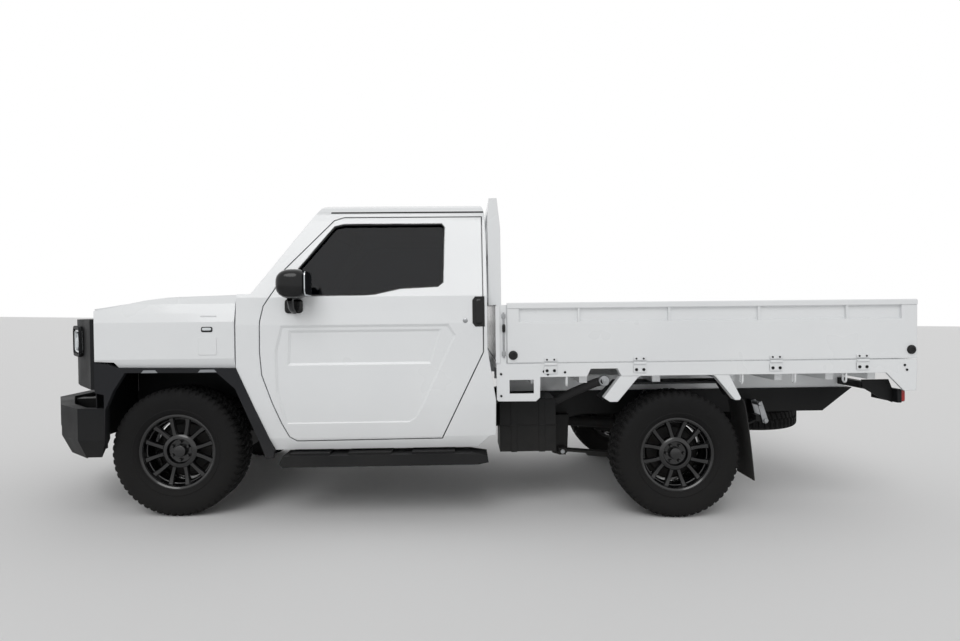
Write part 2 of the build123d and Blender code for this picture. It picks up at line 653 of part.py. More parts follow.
# Rear mudguard legs, x and z, and flaps
GUARD_FRONT = [(2333, 622), (2425, 740), (2540, 740), (2523, 732), (2410, 599), (2367, 599)]
GUARD_REAR = [(2940, 740), (3029, 740), (3094, 612), (3088, 600), (3060, 600), (2953, 730)]
GUARD_ARCH = [
    (2345, 600), (2440, 688), (3030, 688), (3085, 600), (3091, 606), (3036, 699), (2434, 699), (2338, 606),
]
FLAP = [(3106, 600), (3116, 600), (3170, 420), (3176, 146), (3164, 146), (3158, 418)]
with BuildPart() as rear_guards:
    for side in (-1, 1):
        side_prism(GUARD_FRONT, *sorted((side * 805, side * BED_HALF_WIDTH)))
        side_prism(GUARD_REAR, *sorted((side * 805, side * BED_HALF_WIDTH)))
        side_prism(GUARD_ARCH, *sorted((side * 632, side * 806)))
        side_prism(FLAP, *sorted((side * 625, side * 852)))
keep(rear_guards, "rear_guards")

# Wheels: node ending, axle x, side, turn of the spokes in degrees
WHEELS = [
    ("front_left", 0.0, -1, 0.0),
    ("front_right", 0.0, 1, 0.0),
    ("rear_left", WHEELBASE, -1, 30.0),
    ("rear_right", WHEELBASE, 1, 30.0),
]
# The tyre's outer form: radius and height over the middle plane, from one side to the other
TYRE_BANDS = [(236, -110), (290, -117), (322, -111), (343, -99), (352, -80)]
# The hollow of a sidewall down to the bead
SIDEWALL_BANDS = [(236, 110.5), (209, 97), (207.5, 85.4)]
BEAD_RADIUS = 191.3
# Rings of the rim: inner radius, outer radius, lower and upper height
RIM_RINGS = [
    (182, RIM_BARREL_RADIUS, -93, 93),
    (182, RIM_LIP_RADIUS, -93, -85.8),
    (186, RIM_LIP_RADIUS, 85.8, 93),
]
# Windows between the spokes: turn from the pair's middle, inner width, outer width
RIM_WINDOWS = [(0, 16, 34), (30, 26, 60)]
WINDOW_MIDDLE = 137
WINDOW_LENGTH = 70
with BuildPart() as tyre_blank:
    turned(TYRE_BANDS + [(radius, -height) for radius, height in reversed(TYRE_BANDS)])
    for flip in (-1, 1):
        turned([(radius, flip * height) for radius, height in SIDEWALL_BANDS], mode=Mode.SUBTRACT)
        turned([(207.5, flip * 85.4), (207.5, flip * 130)], mode=Mode.SUBTRACT)
    turned([(BEAD_RADIUS, -130), (BEAD_RADIUS, 130)], mode=Mode.SUBTRACT)

with BuildPart() as rim_blank:
    for r_in, r_out, h_low, h_high in RIM_RINGS:
        turned([(r_out, h_low), (r_out, h_high)])
    for r_in, r_out, h_low, h_high in RIM_RINGS:
        turned([(r_in, h_low), (r_in, h_high)], mode=Mode.SUBTRACT)
    turned([(183, 26), (183, 54), (150, 60), (100, 56)])
    with BuildSketch(Plane.XY):
        for start, inner, outer in RIM_WINDOWS:
            with PolarLocations(WINDOW_MIDDLE, SPOKE_PAIRS, start_angle=start):
                Trapezoid(outer, WINDOW_LENGTH, degrees(atan2(WINDOW_LENGTH, (outer - inner) / 2)), rotation=-90)
    extrude(amount=120, mode=Mode.SUBTRACT)
    turned([(97, 20), (97, 60), (90, 70), (66, 70), (60, 46)], 24)
    turned([(34, -74), (34, 66)], 24)
    turned([(150, -74), (150, -54)], 24)

for ending, axle_x, side, phase in WHEELS:
    place = Plane(origin=(axle_x, side * WHEEL_Y, AXLE_Z), x_dir=(1, 0, 0), z_dir=(0, side, 0)).location
    turn = Location((0, 0, 0), (0, 0, phase))
    with BuildPart() as tyre:
        add(tyre_blank.part.moved(place * turn))
    keep(tyre, f"tyre_{ending}", sprung=False)
    with BuildPart() as rim:
        add(rim_blank.part.moved(place * turn))
    keep(rim, f"rim_{ending}", sprung=False)

# Steering knuckles
for side, name in ((-1, "left"), (1, "right")):
    with BuildPart() as knuckle:
        block(-30, 30, *sorted((side * 592, side * 632)), 222, 488)
        with Locations(Location((0, side * 620, AXLE_Z), (90, 0, 0))):
            Cylinder(55, 38)
    keep(knuckle, f"knuckle_{name}", sprung=False)
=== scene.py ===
"""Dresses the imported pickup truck: finishes on every solid and detailed pieces around them.

Sizes are in millimetres in the drawing's axes: x rearward from the front axle, y to the
truck's right, z up from the ground. Pieces on the springs are then tilted by the rake, as
the solids are, and everything is moved to the shared origin in metres.
"""

from __future__ import annotations

import json
import logging
import math
from dataclasses import dataclass
from enum import Enum

import bmesh
import bpy
import numpy as np
from mathutils import Matrix, Vector


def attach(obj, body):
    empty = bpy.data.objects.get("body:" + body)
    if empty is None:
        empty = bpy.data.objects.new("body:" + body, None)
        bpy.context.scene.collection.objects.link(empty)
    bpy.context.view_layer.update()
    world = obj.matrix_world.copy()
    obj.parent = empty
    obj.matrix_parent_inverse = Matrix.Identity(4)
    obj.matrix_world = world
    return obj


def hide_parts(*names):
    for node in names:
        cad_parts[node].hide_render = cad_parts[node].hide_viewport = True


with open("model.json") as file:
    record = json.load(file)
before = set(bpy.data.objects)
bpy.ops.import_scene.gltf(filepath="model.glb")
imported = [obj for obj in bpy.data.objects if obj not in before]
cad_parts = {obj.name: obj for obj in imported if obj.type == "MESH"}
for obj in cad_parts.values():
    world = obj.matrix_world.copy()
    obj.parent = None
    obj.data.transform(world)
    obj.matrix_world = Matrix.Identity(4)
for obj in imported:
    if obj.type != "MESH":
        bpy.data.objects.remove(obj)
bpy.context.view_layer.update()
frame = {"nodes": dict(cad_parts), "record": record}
log = logging.getLogger("truck")

RAKE = math.radians(1.2)
RAKE_PIVOT_Z = 348.0
CENTRE_X = 1573.8
SIDES = {"left": -1, "right": 1}


# Edges sharper than this are rounded where a piece has a bevel
BEVEL_FROM_DEG = 35.0

Point = tuple[float, float, float]
Pair = tuple[float, float]


class Axes(Enum):
    """What a piece is drawn on."""

    SPRUNG = "tilted with the body"
    GROUND = "level with the axles"


class Lay(Enum):
    """The plane that a flat outline is drawn on."""

    SIDE = (0, 2, 1)
    PLAN = (0, 1, 2)


# Materials


def linear(hex_colour: str) -> tuple[float, float, float, float]:
    """Turn an sRGB hex colour into the linear values that Blender's sockets take.

    Args:
        hex_colour: Six hexadecimal digits, red first.

    Returns:
        Red, green, blue and an alpha of one.
    """
    parts = [int(hex_colour[i : i + 2], 16) / 255 for i in (0, 2, 4)]
    values = [p / 12.92 if p <= 0.04045 else ((p + 0.055) / 1.055) ** 2.4 for p in parts]
    return (values[0], values[1], values[2], 1.0)


def add_node(tree: bpy.types.NodeTree, kind: str, inputs: dict | None = None, **settings) -> bpy.types.Node:
    """Add a node with its settings, values and links.

    Args:
        tree: The material's node tree.
        kind: Blender's name of the node's type.
        inputs: Socket name or number to a value, or to the output socket that feeds it.
        settings: Attributes of the node itself.

    Returns:
        The new node.
    """
    node = tree.nodes.new(kind)
    for key, value in settings.items():
        setattr(node, key, value)
    for key, value in (inputs or {}).items():
        if isinstance(value, bpy.types.NodeSocket):
            tree.links.new(value, node.inputs[key])
        else:
            node.inputs[key].default_value = value
    return node


@dataclass(frozen=True)
class Finish:
    """A surface as the real one is made, from colour to grain.

    Slot is the slot of the record that it belongs to.
    Mottle is the slow change of colour over mottle_mm; grain is the relief of grain_mm.
    The lower mix blends a second colour in below a given height above the ground: pale road dust on the dark
    finishes, painted shade darkening the white enamel's lower body.
    """

    name: str
    slot: str
    colour: str
    second: str
    roughness: float
    roughness_swing: float = 0.06
    metallic: float = 0.0
    coat: float = 0.0
    coat_roughness: float = 0.08
    sheen: float = 0.0
    transmission: float = 0.0
    ior: float = 1.5
    mottle_mm: float = 300.0
    mottle: float = 0.5
    grain_mm: float = 3.0
    grain_depth: float = 0.1
    edge_mm: float = 0.0
    dust_and_shade: float = 0.0
    dust_and_shade_colour: str = "9A958C"
    dust_and_shade_top_mm: float = 700.0
    weave_mm: float = 0.0

    def relief(self, tree: bpy.types.NodeTree, place: bpy.types.NodeSocket) -> bpy.types.NodeSocket:
        """The bumped normal: fine grain, or two crossing threads where the finish is woven."""
        edge = None
        if self.edge_mm:
            edge = add_node(tree, "ShaderNodeBevel", {"Radius": self.edge_mm / 1000}, samples=4).outputs[0]
        if self.weave_mm:
            waves = [
                add_node(
                    tree,
                    "ShaderNodeTexWave",
                    {"Vector": place, "Scale": 1000 / self.weave_mm / 2 / math.pi * 2, "Distortion": 0.6},
                    bands_direction=direction,
                ).outputs["Fac"]
                for direction in ("X", "Y", "Z")
            ]
            pair = add_node(tree, "ShaderNodeMath", {0: waves[0], 1: waves[1]}, operation="ADD")
            height = add_node(
                tree, "ShaderNodeMath", {0: pair.outputs[0], 1: waves[2]}, operation="ADD"
            ).outputs[0]
        else:
            height = add_node(
                tree, "ShaderNodeTexNoise", {"Vector": place, "Scale": 1000 / self.grain_mm, "Detail": 2.0}
            ).outputs["Fac"]
        bump_inputs = {"Height": height, "Strength": self.grain_depth, "Distance": 0.001}
        if edge is not None:
            bump_inputs["Normal"] = edge
        return add_node(tree, "ShaderNodeBump", bump_inputs).outputs[0]

    def material(self) -> bpy.types.Material:
        """The finish as a node material, made once and then shared."""
        known = bpy.data.materials.get(self.name)
        if known:
            return known
        made = bpy.data.materials.new(self.name)
        made.use_nodes = True
        tree = made.node_tree
        shader = tree.nodes["Principled BSDF"]
        place = add_node(tree, "ShaderNodeTexCoord").outputs["Object"]
        cloud = add_node(
            tree, "ShaderNodeTexNoise", {"Vector": place, "Scale": 1000 / self.mottle_mm, "Detail": 4.0}
        ).outputs["Fac"]
        share = add_node(
            tree,
            "ShaderNodeMapRange",
            {"Value": cloud, "From Min": 0.35, "From Max": 0.65, "To Max": self.mottle},
        ).outputs[0]
        colour = add_node(
            tree,
            "ShaderNodeMix",
            {"Factor": share, "A": linear(self.colour), "B": linear(self.second)},
            data_type="RGBA",
        ).outputs["Result"]
        colour_socket = colour
        # Lower mix towards the ground: road dust on the dark finishes, painted shade on the white enamel
        if self.dust_and_shade:
            height = add_node(tree, "ShaderNodeSeparateXYZ", {0: place}).outputs["Z"]
            low = add_node(
                tree,
                "ShaderNodeMapRange",
                {"Value": height, "From Min": self.dust_and_shade_top_mm / 1000, "From Max": 0.05, "To Max": self.dust_and_shade},
            ).outputs[0]
            patchy_dust_and_shade = add_node(tree, "ShaderNodeMath", {0: low, 1: cloud}, operation="MULTIPLY").outputs[0]
            colour_socket = add_node(
                tree,
                "ShaderNodeMix",
                {"Factor": patchy_dust_and_shade, "A": colour, "B": linear(self.dust_and_shade_colour)},
                data_type="RGBA",
            ).outputs["Result"]
        tree.links.new(colour_socket, shader.inputs["Base Color"])
        rough = add_node(
            tree,
            "ShaderNodeMapRange",
            {
                "Value": cloud,
                "From Min": 0.3,
                "From Max": 0.7,
                "To Min": max(0.02, self.roughness - self.roughness_swing),
                "To Max": self.roughness + self.roughness_swing,
            },
        ).outputs[0]
        tree.links.new(rough, shader.inputs["Roughness"])
        tree.links.new(self.relief(tree, place), shader.inputs["Normal"])
        shader.inputs["Metallic"].default_value = self.metallic
        shader.inputs["Coat Weight"].default_value = self.coat
        shader.inputs["Coat Roughness"].default_value = self.coat_roughness
        shader.inputs["Sheen Weight"].default_value = self.sheen
        shader.inputs["Transmission Weight"].default_value = self.transmission
        if not self.metallic:
            shader.inputs["IOR"].default_value = self.ior
        return made


# Sprayed enamel: clean gloss with a faint orange peel; its lower mix is painted shade that darkens the body
# below 760 mm
WHITE_ENAMEL = Finish(
    "white_enamel", "body_white", "E9EBEC", "E1E3E5", 0.3, coat=0.5, mottle_mm=700, grain_mm=4,
    grain_depth=0.03, edge_mm=4, dust_and_shade=0.35, dust_and_shade_top_mm=760,
)
# Moulded polypropylene: dull black with a fine leather grain
GRAINED_PLASTIC = Finish(
    "grained_black_plastic", "trim_black", "121315", "18191B", 0.6, mottle_mm=160, grain_mm=1.6,
    grain_depth=0.35, edge_mm=3, dust_and_shade=0.08, dust_and_shade_top_mm=620, ior=1.3,
)
# Sun-greyed polypropylene of the arch trims: a shade lighter than the bumper
GREYED_PLASTIC = Finish(
    "greyed_plastic", "trim_black", "1C1D20", "242528", 0.6, mottle_mm=120, grain_mm=1.6,
    grain_depth=0.4, edge_mm=3, dust_and_shade=0.1, ior=1.3,
)
# Polished ABS: deep black with clear reflections
GLOSS_PLASTIC = Finish(
    "gloss_black_abs", "mirror_black", "08090A", "0C0D0F", 0.16, coat=0.15, ior=1.35, mottle_mm=90,
)
# Brushed-on chassis enamel: satin black under a coat of dust
CHASSIS_ENAMEL = Finish(
    "satin_chassis_enamel", "chassis_black", "0C0D0E", "131415", 0.5, mottle_mm=90, grain_mm=5,
    grain_depth=0.25, edge_mm=2, dust_and_shade=0.12, dust_and_shade_top_mm=620, ior=1.3,
)
# Raw cast iron: dark grey with a sand-cast tooth
CAST_IRON = Finish(
    "cast_iron", "cast_metal", "2B2C2D", "36312C", 0.66, metallic=0.4, mottle_mm=60, grain_mm=2.5,
    grain_depth=0.5, edge_mm=3,
)
# Aluminised steel: dull silver, browned by heat
ALUMINISED_STEEL = Finish(
    "aluminised_steel", "exhaust_steel", "8B8986", "6E645A", 0.42, metallic=0.9, mottle_mm=110,
    grain_mm=2, grain_depth=0.2,
)
# Light grey of the small pads on the arch trims: painted highlight standing for the glints off their notches
PAINTED_HIGHLIGHT_GREY = Finish(
    "painted_highlight_grey", "trim_black", "8E9194", "86898C", 0.5, mottle_mm=60, grain_mm=1.6,
    grain_depth=0.2,
)
# Zinc-plated steel: bright fasteners and latch rods
ZINC_STEEL = Finish(
    "zinc_plated_steel", "exhaust_steel", "A9ABAD", "8F9193", 0.34, metallic=1.0, mottle_mm=25,
    grain_mm=1.2, grain_depth=0.1,
)
# Dark tinted float glass: almost black from outside, shapes inside still show
TINTED_GLASS = Finish(
    "tinted_float_glass", "glass", "14202E", "121D2A", 0.03, roughness_swing=0.01, transmission=0.96,
    ior=1.2, mottle_mm=900, grain_mm=900, grain_depth=0.0,
)
# Clear polycarbonate of a lamp: bright with sharp reflections
LAMP_LENS = Finish(
    "clear_polycarbonate", "lamp_lens", "DDE2E4", "D2D8DB", 0.08, roughness_swing=0.03, coat=0.3,
    mottle_mm=40, grain_mm=8, grain_depth=0.2,
)
# Woven upholstery cloth: threads drawn 5 mm apart, coarser than real so that they show
SEAT_CLOTH = Finish(
    "woven_seat_cloth", "seat_fabric", "34363A", "2A2C30", 0.85, sheen=0.3, mottle_mm=30,
    grain_depth=0.5, weave_mm=5,
)
# Vulcanised rubber: dull black, dust in the low places
TYRE_RUBBER = Finish(
    "vulcanised_rubber", "tyre", "0F0F10", "151515", 0.78, mottle_mm=45, grain_mm=1.5, grain_depth=0.35,
    dust_and_shade=0.08, dust_and_shade_colour="57534C", ior=1.3,
)
# Gloss black wheel enamel under clear lacquer
WHEEL_ENAMEL = Finish(
    "gloss_wheel_enamel", "rim_black", "050506", "09090A", 0.22, coat=0.35, mottle_mm=60, grain_mm=3,
    grain_depth=0.03, edge_mm=1.5,
)

# Red and amber acrylic of the rear lamps: deep clear colour
RED_LENS = Finish(
    "red_acrylic", "lamp_lens", "9E1512", "8A100E", 0.1, coat=0.4, mottle_mm=30, grain_mm=6,
    grain_depth=0.3,
)
AMBER_LENS = Finish(
    "amber_acrylic", "lamp_lens", "C4701A", "B4620F", 0.1, coat=0.4, mottle_mm=30, grain_mm=6,
    grain_depth=0.3,
)
# Soft moulded interior plastic: mid grey, dull
CABIN_PLASTIC = Finish(
    "cabin_plastic", "trim_black", "3A3C40", "404246", 0.66, mottle_mm=120, grain_mm=1.4,
    grain_depth=0.3, edge_mm=3,
)
# Extruded rubber of seals, stops and flaps: black and matt
SEAL_RUBBER = Finish(
    "extruded_rubber", "trim_black", "101011", "161617", 0.75, mottle_mm=60, grain_mm=2,
    grain_depth=0.2, dust_and_shade=0.1,
)
# Vacuum-coated mirror glass: bright and sharp
MIRROR_GLASS = Finish(
    "mirror_glass", "mirror_black", "C9CDD0", "C2C6C9", 0.04, roughness_swing=0.01, metallic=1.0,
    grain_depth=0.0,
)

SLOT_FINISH = {
    finish.slot: finish
    for finish in (
        WHITE_ENAMEL, GRAINED_PLASTIC, GLOSS_PLASTIC, CHASSIS_ENAMEL, CAST_IRON, ALUMINISED_STEEL,
        TINTED_GLASS, LAMP_LENS, SEAT_CLOTH, TYRE_RUBBER, WHEEL_ENAMEL,
    )
}
NODE_FINISH = {"flares": GREYED_PLASTIC}


# Surfaces


@dataclass
class Surface:
    """A closed mesh in the drawing's axes: points as rows, faces as lists of row numbers."""

    points: np.ndarray
    faces: list

    def moved(self, shift: Point) -> Surface:
        """The surface moved by a shift in millimetres."""
        return Surface(self.points + np.array(shift, float), self.faces)

    def turned(self, matrix: np.ndarray, shift: Point = (0, 0, 0)) -> Surface:
        """The surface with its points multiplied by a 3 by 3 matrix and then shifted."""
        return Surface(self.points @ matrix.T + np.array(shift, float), self.faces)


def join(surfaces: list[Surface]) -> Surface:
    """Put surfaces into one, each keeping its own points."""
    points, faces, start = [], [], 0
    for surface in surfaces:
        points.append(surface.points)
        faces += [[start + corner for corner in face] for face in surface.faces]
        start += len(surface.points)
    return Surface(np.concatenate(points), faces)


def grid_faces(rows: int, columns: int, wrap_rows: bool, wrap_columns: bool) -> list:
    """Quads between neighbours on a grid of points numbered row by row.

    Args:
        rows: Number of rows.
        columns: Number of points in a row.
        wrap_rows: Whether the last row meets the first.
        wrap_columns: Whether each row closes on itself.

    Returns:
        The faces as lists of four point numbers.
    """
    i = np.arange(rows if wrap_rows else rows - 1)[:, None]
    j = np.arange(columns if wrap_columns else columns - 1)[None, :]
    near, far = (i % rows) * columns, ((i + 1) % rows) * columns
    left, right = j % columns, (j + 1) % columns
    quads = np.stack([near + left, far + left, far + right, near + right], -1)
    return quads.reshape(-1, 4).tolist()


def lathe(profile: list[Pair], segments: int = 64, ring: bool = False) -> Surface:
    """Turn a profile of (radius, height) about the z axis: x = r cos t, y = r sin t, z = h.

    Args:
        profile: Points of the section.
        segments: Steps round the axis.
        ring: Whether the profile closes on itself; otherwise both ends get flat caps.

    Returns:
        A closed surface.
    """
    radius, height = np.array(profile, float).T
    turn = np.linspace(0, 2 * math.pi, segments, endpoint=False)
    points = np.stack(
        [
            radius[:, None] * np.cos(turn),
            radius[:, None] * np.sin(turn),
            np.repeat(height[:, None], segments, axis=1),
        ],
        -1,
    ).reshape(-1, 3)
    faces = grid_faces(len(profile), segments, ring, True)
    if not ring:
        faces.append(list(range(segments)))
        faces.append(list(range(len(points) - segments, len(points))))
    return Surface(points, faces)


def sweep(
    path: np.ndarray, section: np.ndarray, up: Point = (0, 0, 1), scale: np.ndarray | None = None,
    closed: bool = False,
) -> Surface:
    """Carry a section along a path: point + u * side + v * lift, both square to the path.

    Args:
        path: Points of the path, one a row.
        section: Closed outline in (side, lift) millimetres.
        up: A direction that the section's lift stays near.
        scale: Size of the section at each path point, one where left out.
        closed: Whether the path closes on itself.

    Returns:
        A closed surface with flat ends, or a ring.
    """
    path, section = np.asarray(path, float), np.asarray(section, float)
    if closed:
        tangent = np.roll(path, -1, axis=0) - np.roll(path, 1, axis=0)
    else:
        tangent = np.gradient(path, axis=0)
    tangent /= np.linalg.norm(tangent, axis=1, keepdims=True)
    side = np.cross(tangent, np.array(up, float))
    side /= np.linalg.norm(side, axis=1, keepdims=True)
    lift = np.cross(side, tangent)
    size = np.ones(len(path)) if scale is None else np.asarray(scale, float)
    points = (
        path[:, None]
        + size[:, None, None] * section[None, :, :1] * side[:, None]
        + size[:, None, None] * section[None, :, 1:] * lift[:, None]
    ).reshape(-1, 3)
    count = len(section)
    faces = grid_faces(len(path), count, closed, True)
    if not closed:
        faces.append(list(range(count)))
        faces.append(list(range(len(points) - count, len(points))))
    return Surface(points, faces)


def circle(radius: float, steps: int = 16) -> np.ndarray:
    """A round section: radius times cosine and sine of equal steps."""
    turn = np.linspace(0, 2 * math.pi, steps, endpoint=False)
    return np.stack([radius * np.cos(turn), radius * np.sin(turn)], -1)


def rounded(width: float, height: float, radius: float, steps: int = 4) -> np.ndarray:
    """A rectangle with quarter-circle corners, centred on zero."""
    turn = np.linspace(0, math.pi / 2, steps + 1)
    corners = []
    for number, (sx, sy) in enumerate(((1, 1), (-1, 1), (-1, -1), (1, -1))):
        angle = turn + number * math.pi / 2
        centre = np.array([sx * (width / 2 - radius), sy * (height / 2 - radius)])
        corners.append(centre + radius * np.stack([np.cos(angle), np.sin(angle)], -1))
    return np.concatenate(corners)


def slab(outline: list[Pair], low: float, high: float, lay: Lay = Lay.SIDE) -> Surface:
    """An outline given thickness between two values of the axis that it isn't drawn on."""
    flat = np.array(outline, float)
    count = len(flat)
    points = np.zeros((2 * count, 3))
    first, second, across = lay.value
    points[:count, first], points[count:, first] = flat[:, 0], flat[:, 0]
    points[:count, second], points[count:, second] = flat[:, 1], flat[:, 1]
    points[:count, across], points[count:, across] = low, high
    faces = grid_faces(2, count, False, True)
    return Surface(points, faces + [list(range(count)), list(range(count, 2 * count))])


def block(x: Pair, y: Pair, z: Pair) -> Surface:
    """A plain bar between limits, for a piece whose edges a modifier then rounds."""
    return slab([(x[0], z[0]), (x[1], z[0]), (x[1], z[1]), (x[0], z[1])], y[0], y[1])


def pillow(centre: Point, size: Point, squareness: float = 4.0,
           rows: int = 20, columns: int = 32) -> Surface:
    """A soft block: each of cos and sin of two angles raised to 2 / squareness, keeping its sign.

    Args:
        centre: Middle of the block.
        size: Full size along x, y and z.
        squareness: Two gives an ellipsoid, more gives a squarer block.
        rows: Steps from pole to pole.
        columns: Steps round.

    Returns:
        A closed surface.
    """
    power = 2.0 / squareness
    lat = np.linspace(-math.pi / 2, math.pi / 2, rows + 2)[1:-1, None]
    lon = np.linspace(0, 2 * math.pi, columns, endpoint=False)[None, :]

    def soft(value: np.ndarray) -> np.ndarray:
        """The value's size raised to the power, with its sign."""
        return np.sign(value) * np.abs(value) ** power

    half = np.array(size) / 2
    ring = np.stack(
        [
            half[0] * soft(np.cos(lat)) * soft(np.cos(lon)),
            half[1] * soft(np.cos(lat)) * soft(np.sin(lon)),
            half[2] * soft(np.sin(lat)) * np.ones_like(lon),
        ],
        -1,
    ).reshape(-1, 3)
    faces = grid_faces(rows, columns, False, True)
    faces += [list(range(columns)), list(range(len(ring) - columns, len(ring)))]
    return Surface(ring + np.array(centre, float), faces)


def bolt(centre: Point, direction: Point, radius: float = 9,
         height: float = 7) -> Surface:
    """A six-sided head with a rounded top, standing along a direction."""
    head = lathe([(radius, 0), (radius, height * 0.7), (radius * 0.8, height)], 6)
    axis = Vector(direction).to_track_quat("Z", "Y").to_matrix()
    return head.turned(np.array(axis), centre)


def rod(start: Point, end: Point, radius: float, steps: int = 16) -> Surface:
    """A round bar from one point to another."""
    run = np.array([start, end], float)
    up = (0, 1, 0) if abs(run[1, 2] - run[0, 2]) > 0.9 * np.linalg.norm(run[1] - run[0]) else (0, 0, 1)
    return sweep(run, circle(radius, steps), up)


def make_piece(
    name: str, surfaces: list[Surface], finish: Finish, body: str, axes: Axes = Axes.SPRUNG,
    bevel_mm: float = 0.0, sharp_deg: float = 38.0, replaces: tuple[str, ...] = (), slot: str = "",
) -> bpy.types.Object:
    """Make a mesh object of surfaces and hang it on a body.

    Args:
        name: Name of the piece.
        surfaces: Closed surfaces in millimetres.
        finish: Its material.
        body: Body that it rides on.
        axes: Whether it is tilted with the body.
        bevel_mm: Width of the rounding of its edges, none where zero.
        sharp_deg: Edges sharper than this stay crisp.
        replaces: Nodes that it stands for.
        slot: Slot of the record, where it is another than its finish's own; not used.

    Returns:
        The object, at the origin.
    """
    slot = slot or finish.slot
    whole = join(surfaces)
    x, y, z = whole.points.T
    if axes is Axes.SPRUNG:
        x, z = (
            math.cos(RAKE) * x - math.sin(RAKE) * (z - RAKE_PIVOT_Z),
            RAKE_PIVOT_Z + math.sin(RAKE) * x + math.cos(RAKE) * (z - RAKE_PIVOT_Z),
        )
    points = np.stack([x - CENTRE_X, y, z], -1) / 1000
    mesh = bpy.data.meshes.new(name)
    mesh.from_pydata(points.tolist(), [], whole.faces)
    work = bmesh.new()
    work.from_mesh(mesh)
    bmesh.ops.recalc_face_normals(work, faces=work.faces)
    work.to_mesh(mesh)
    work.free()
    mesh.shade_smooth()
    mesh.set_sharp_from_angle(angle=math.radians(sharp_deg))
    mesh.materials.append(finish.material())
    piece = bpy.data.objects.new(name, mesh)
    bpy.context.scene.collection.objects.link(piece)
    if bevel_mm:
        bevel = piece.modifiers.new("edges", "BEVEL")
        bevel.width = bevel_mm / 1000
        bevel.segments = 2
        bevel.limit_method = "ANGLE"
        bevel.angle_limit = math.radians(BEVEL_FROM_DEG)
    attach(piece, body)
    if replaces:
        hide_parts(*replaces)
    log.info("%s: %d faces on %s", name, len(mesh.polygons), body)
    return piece


# Sub-assemblies


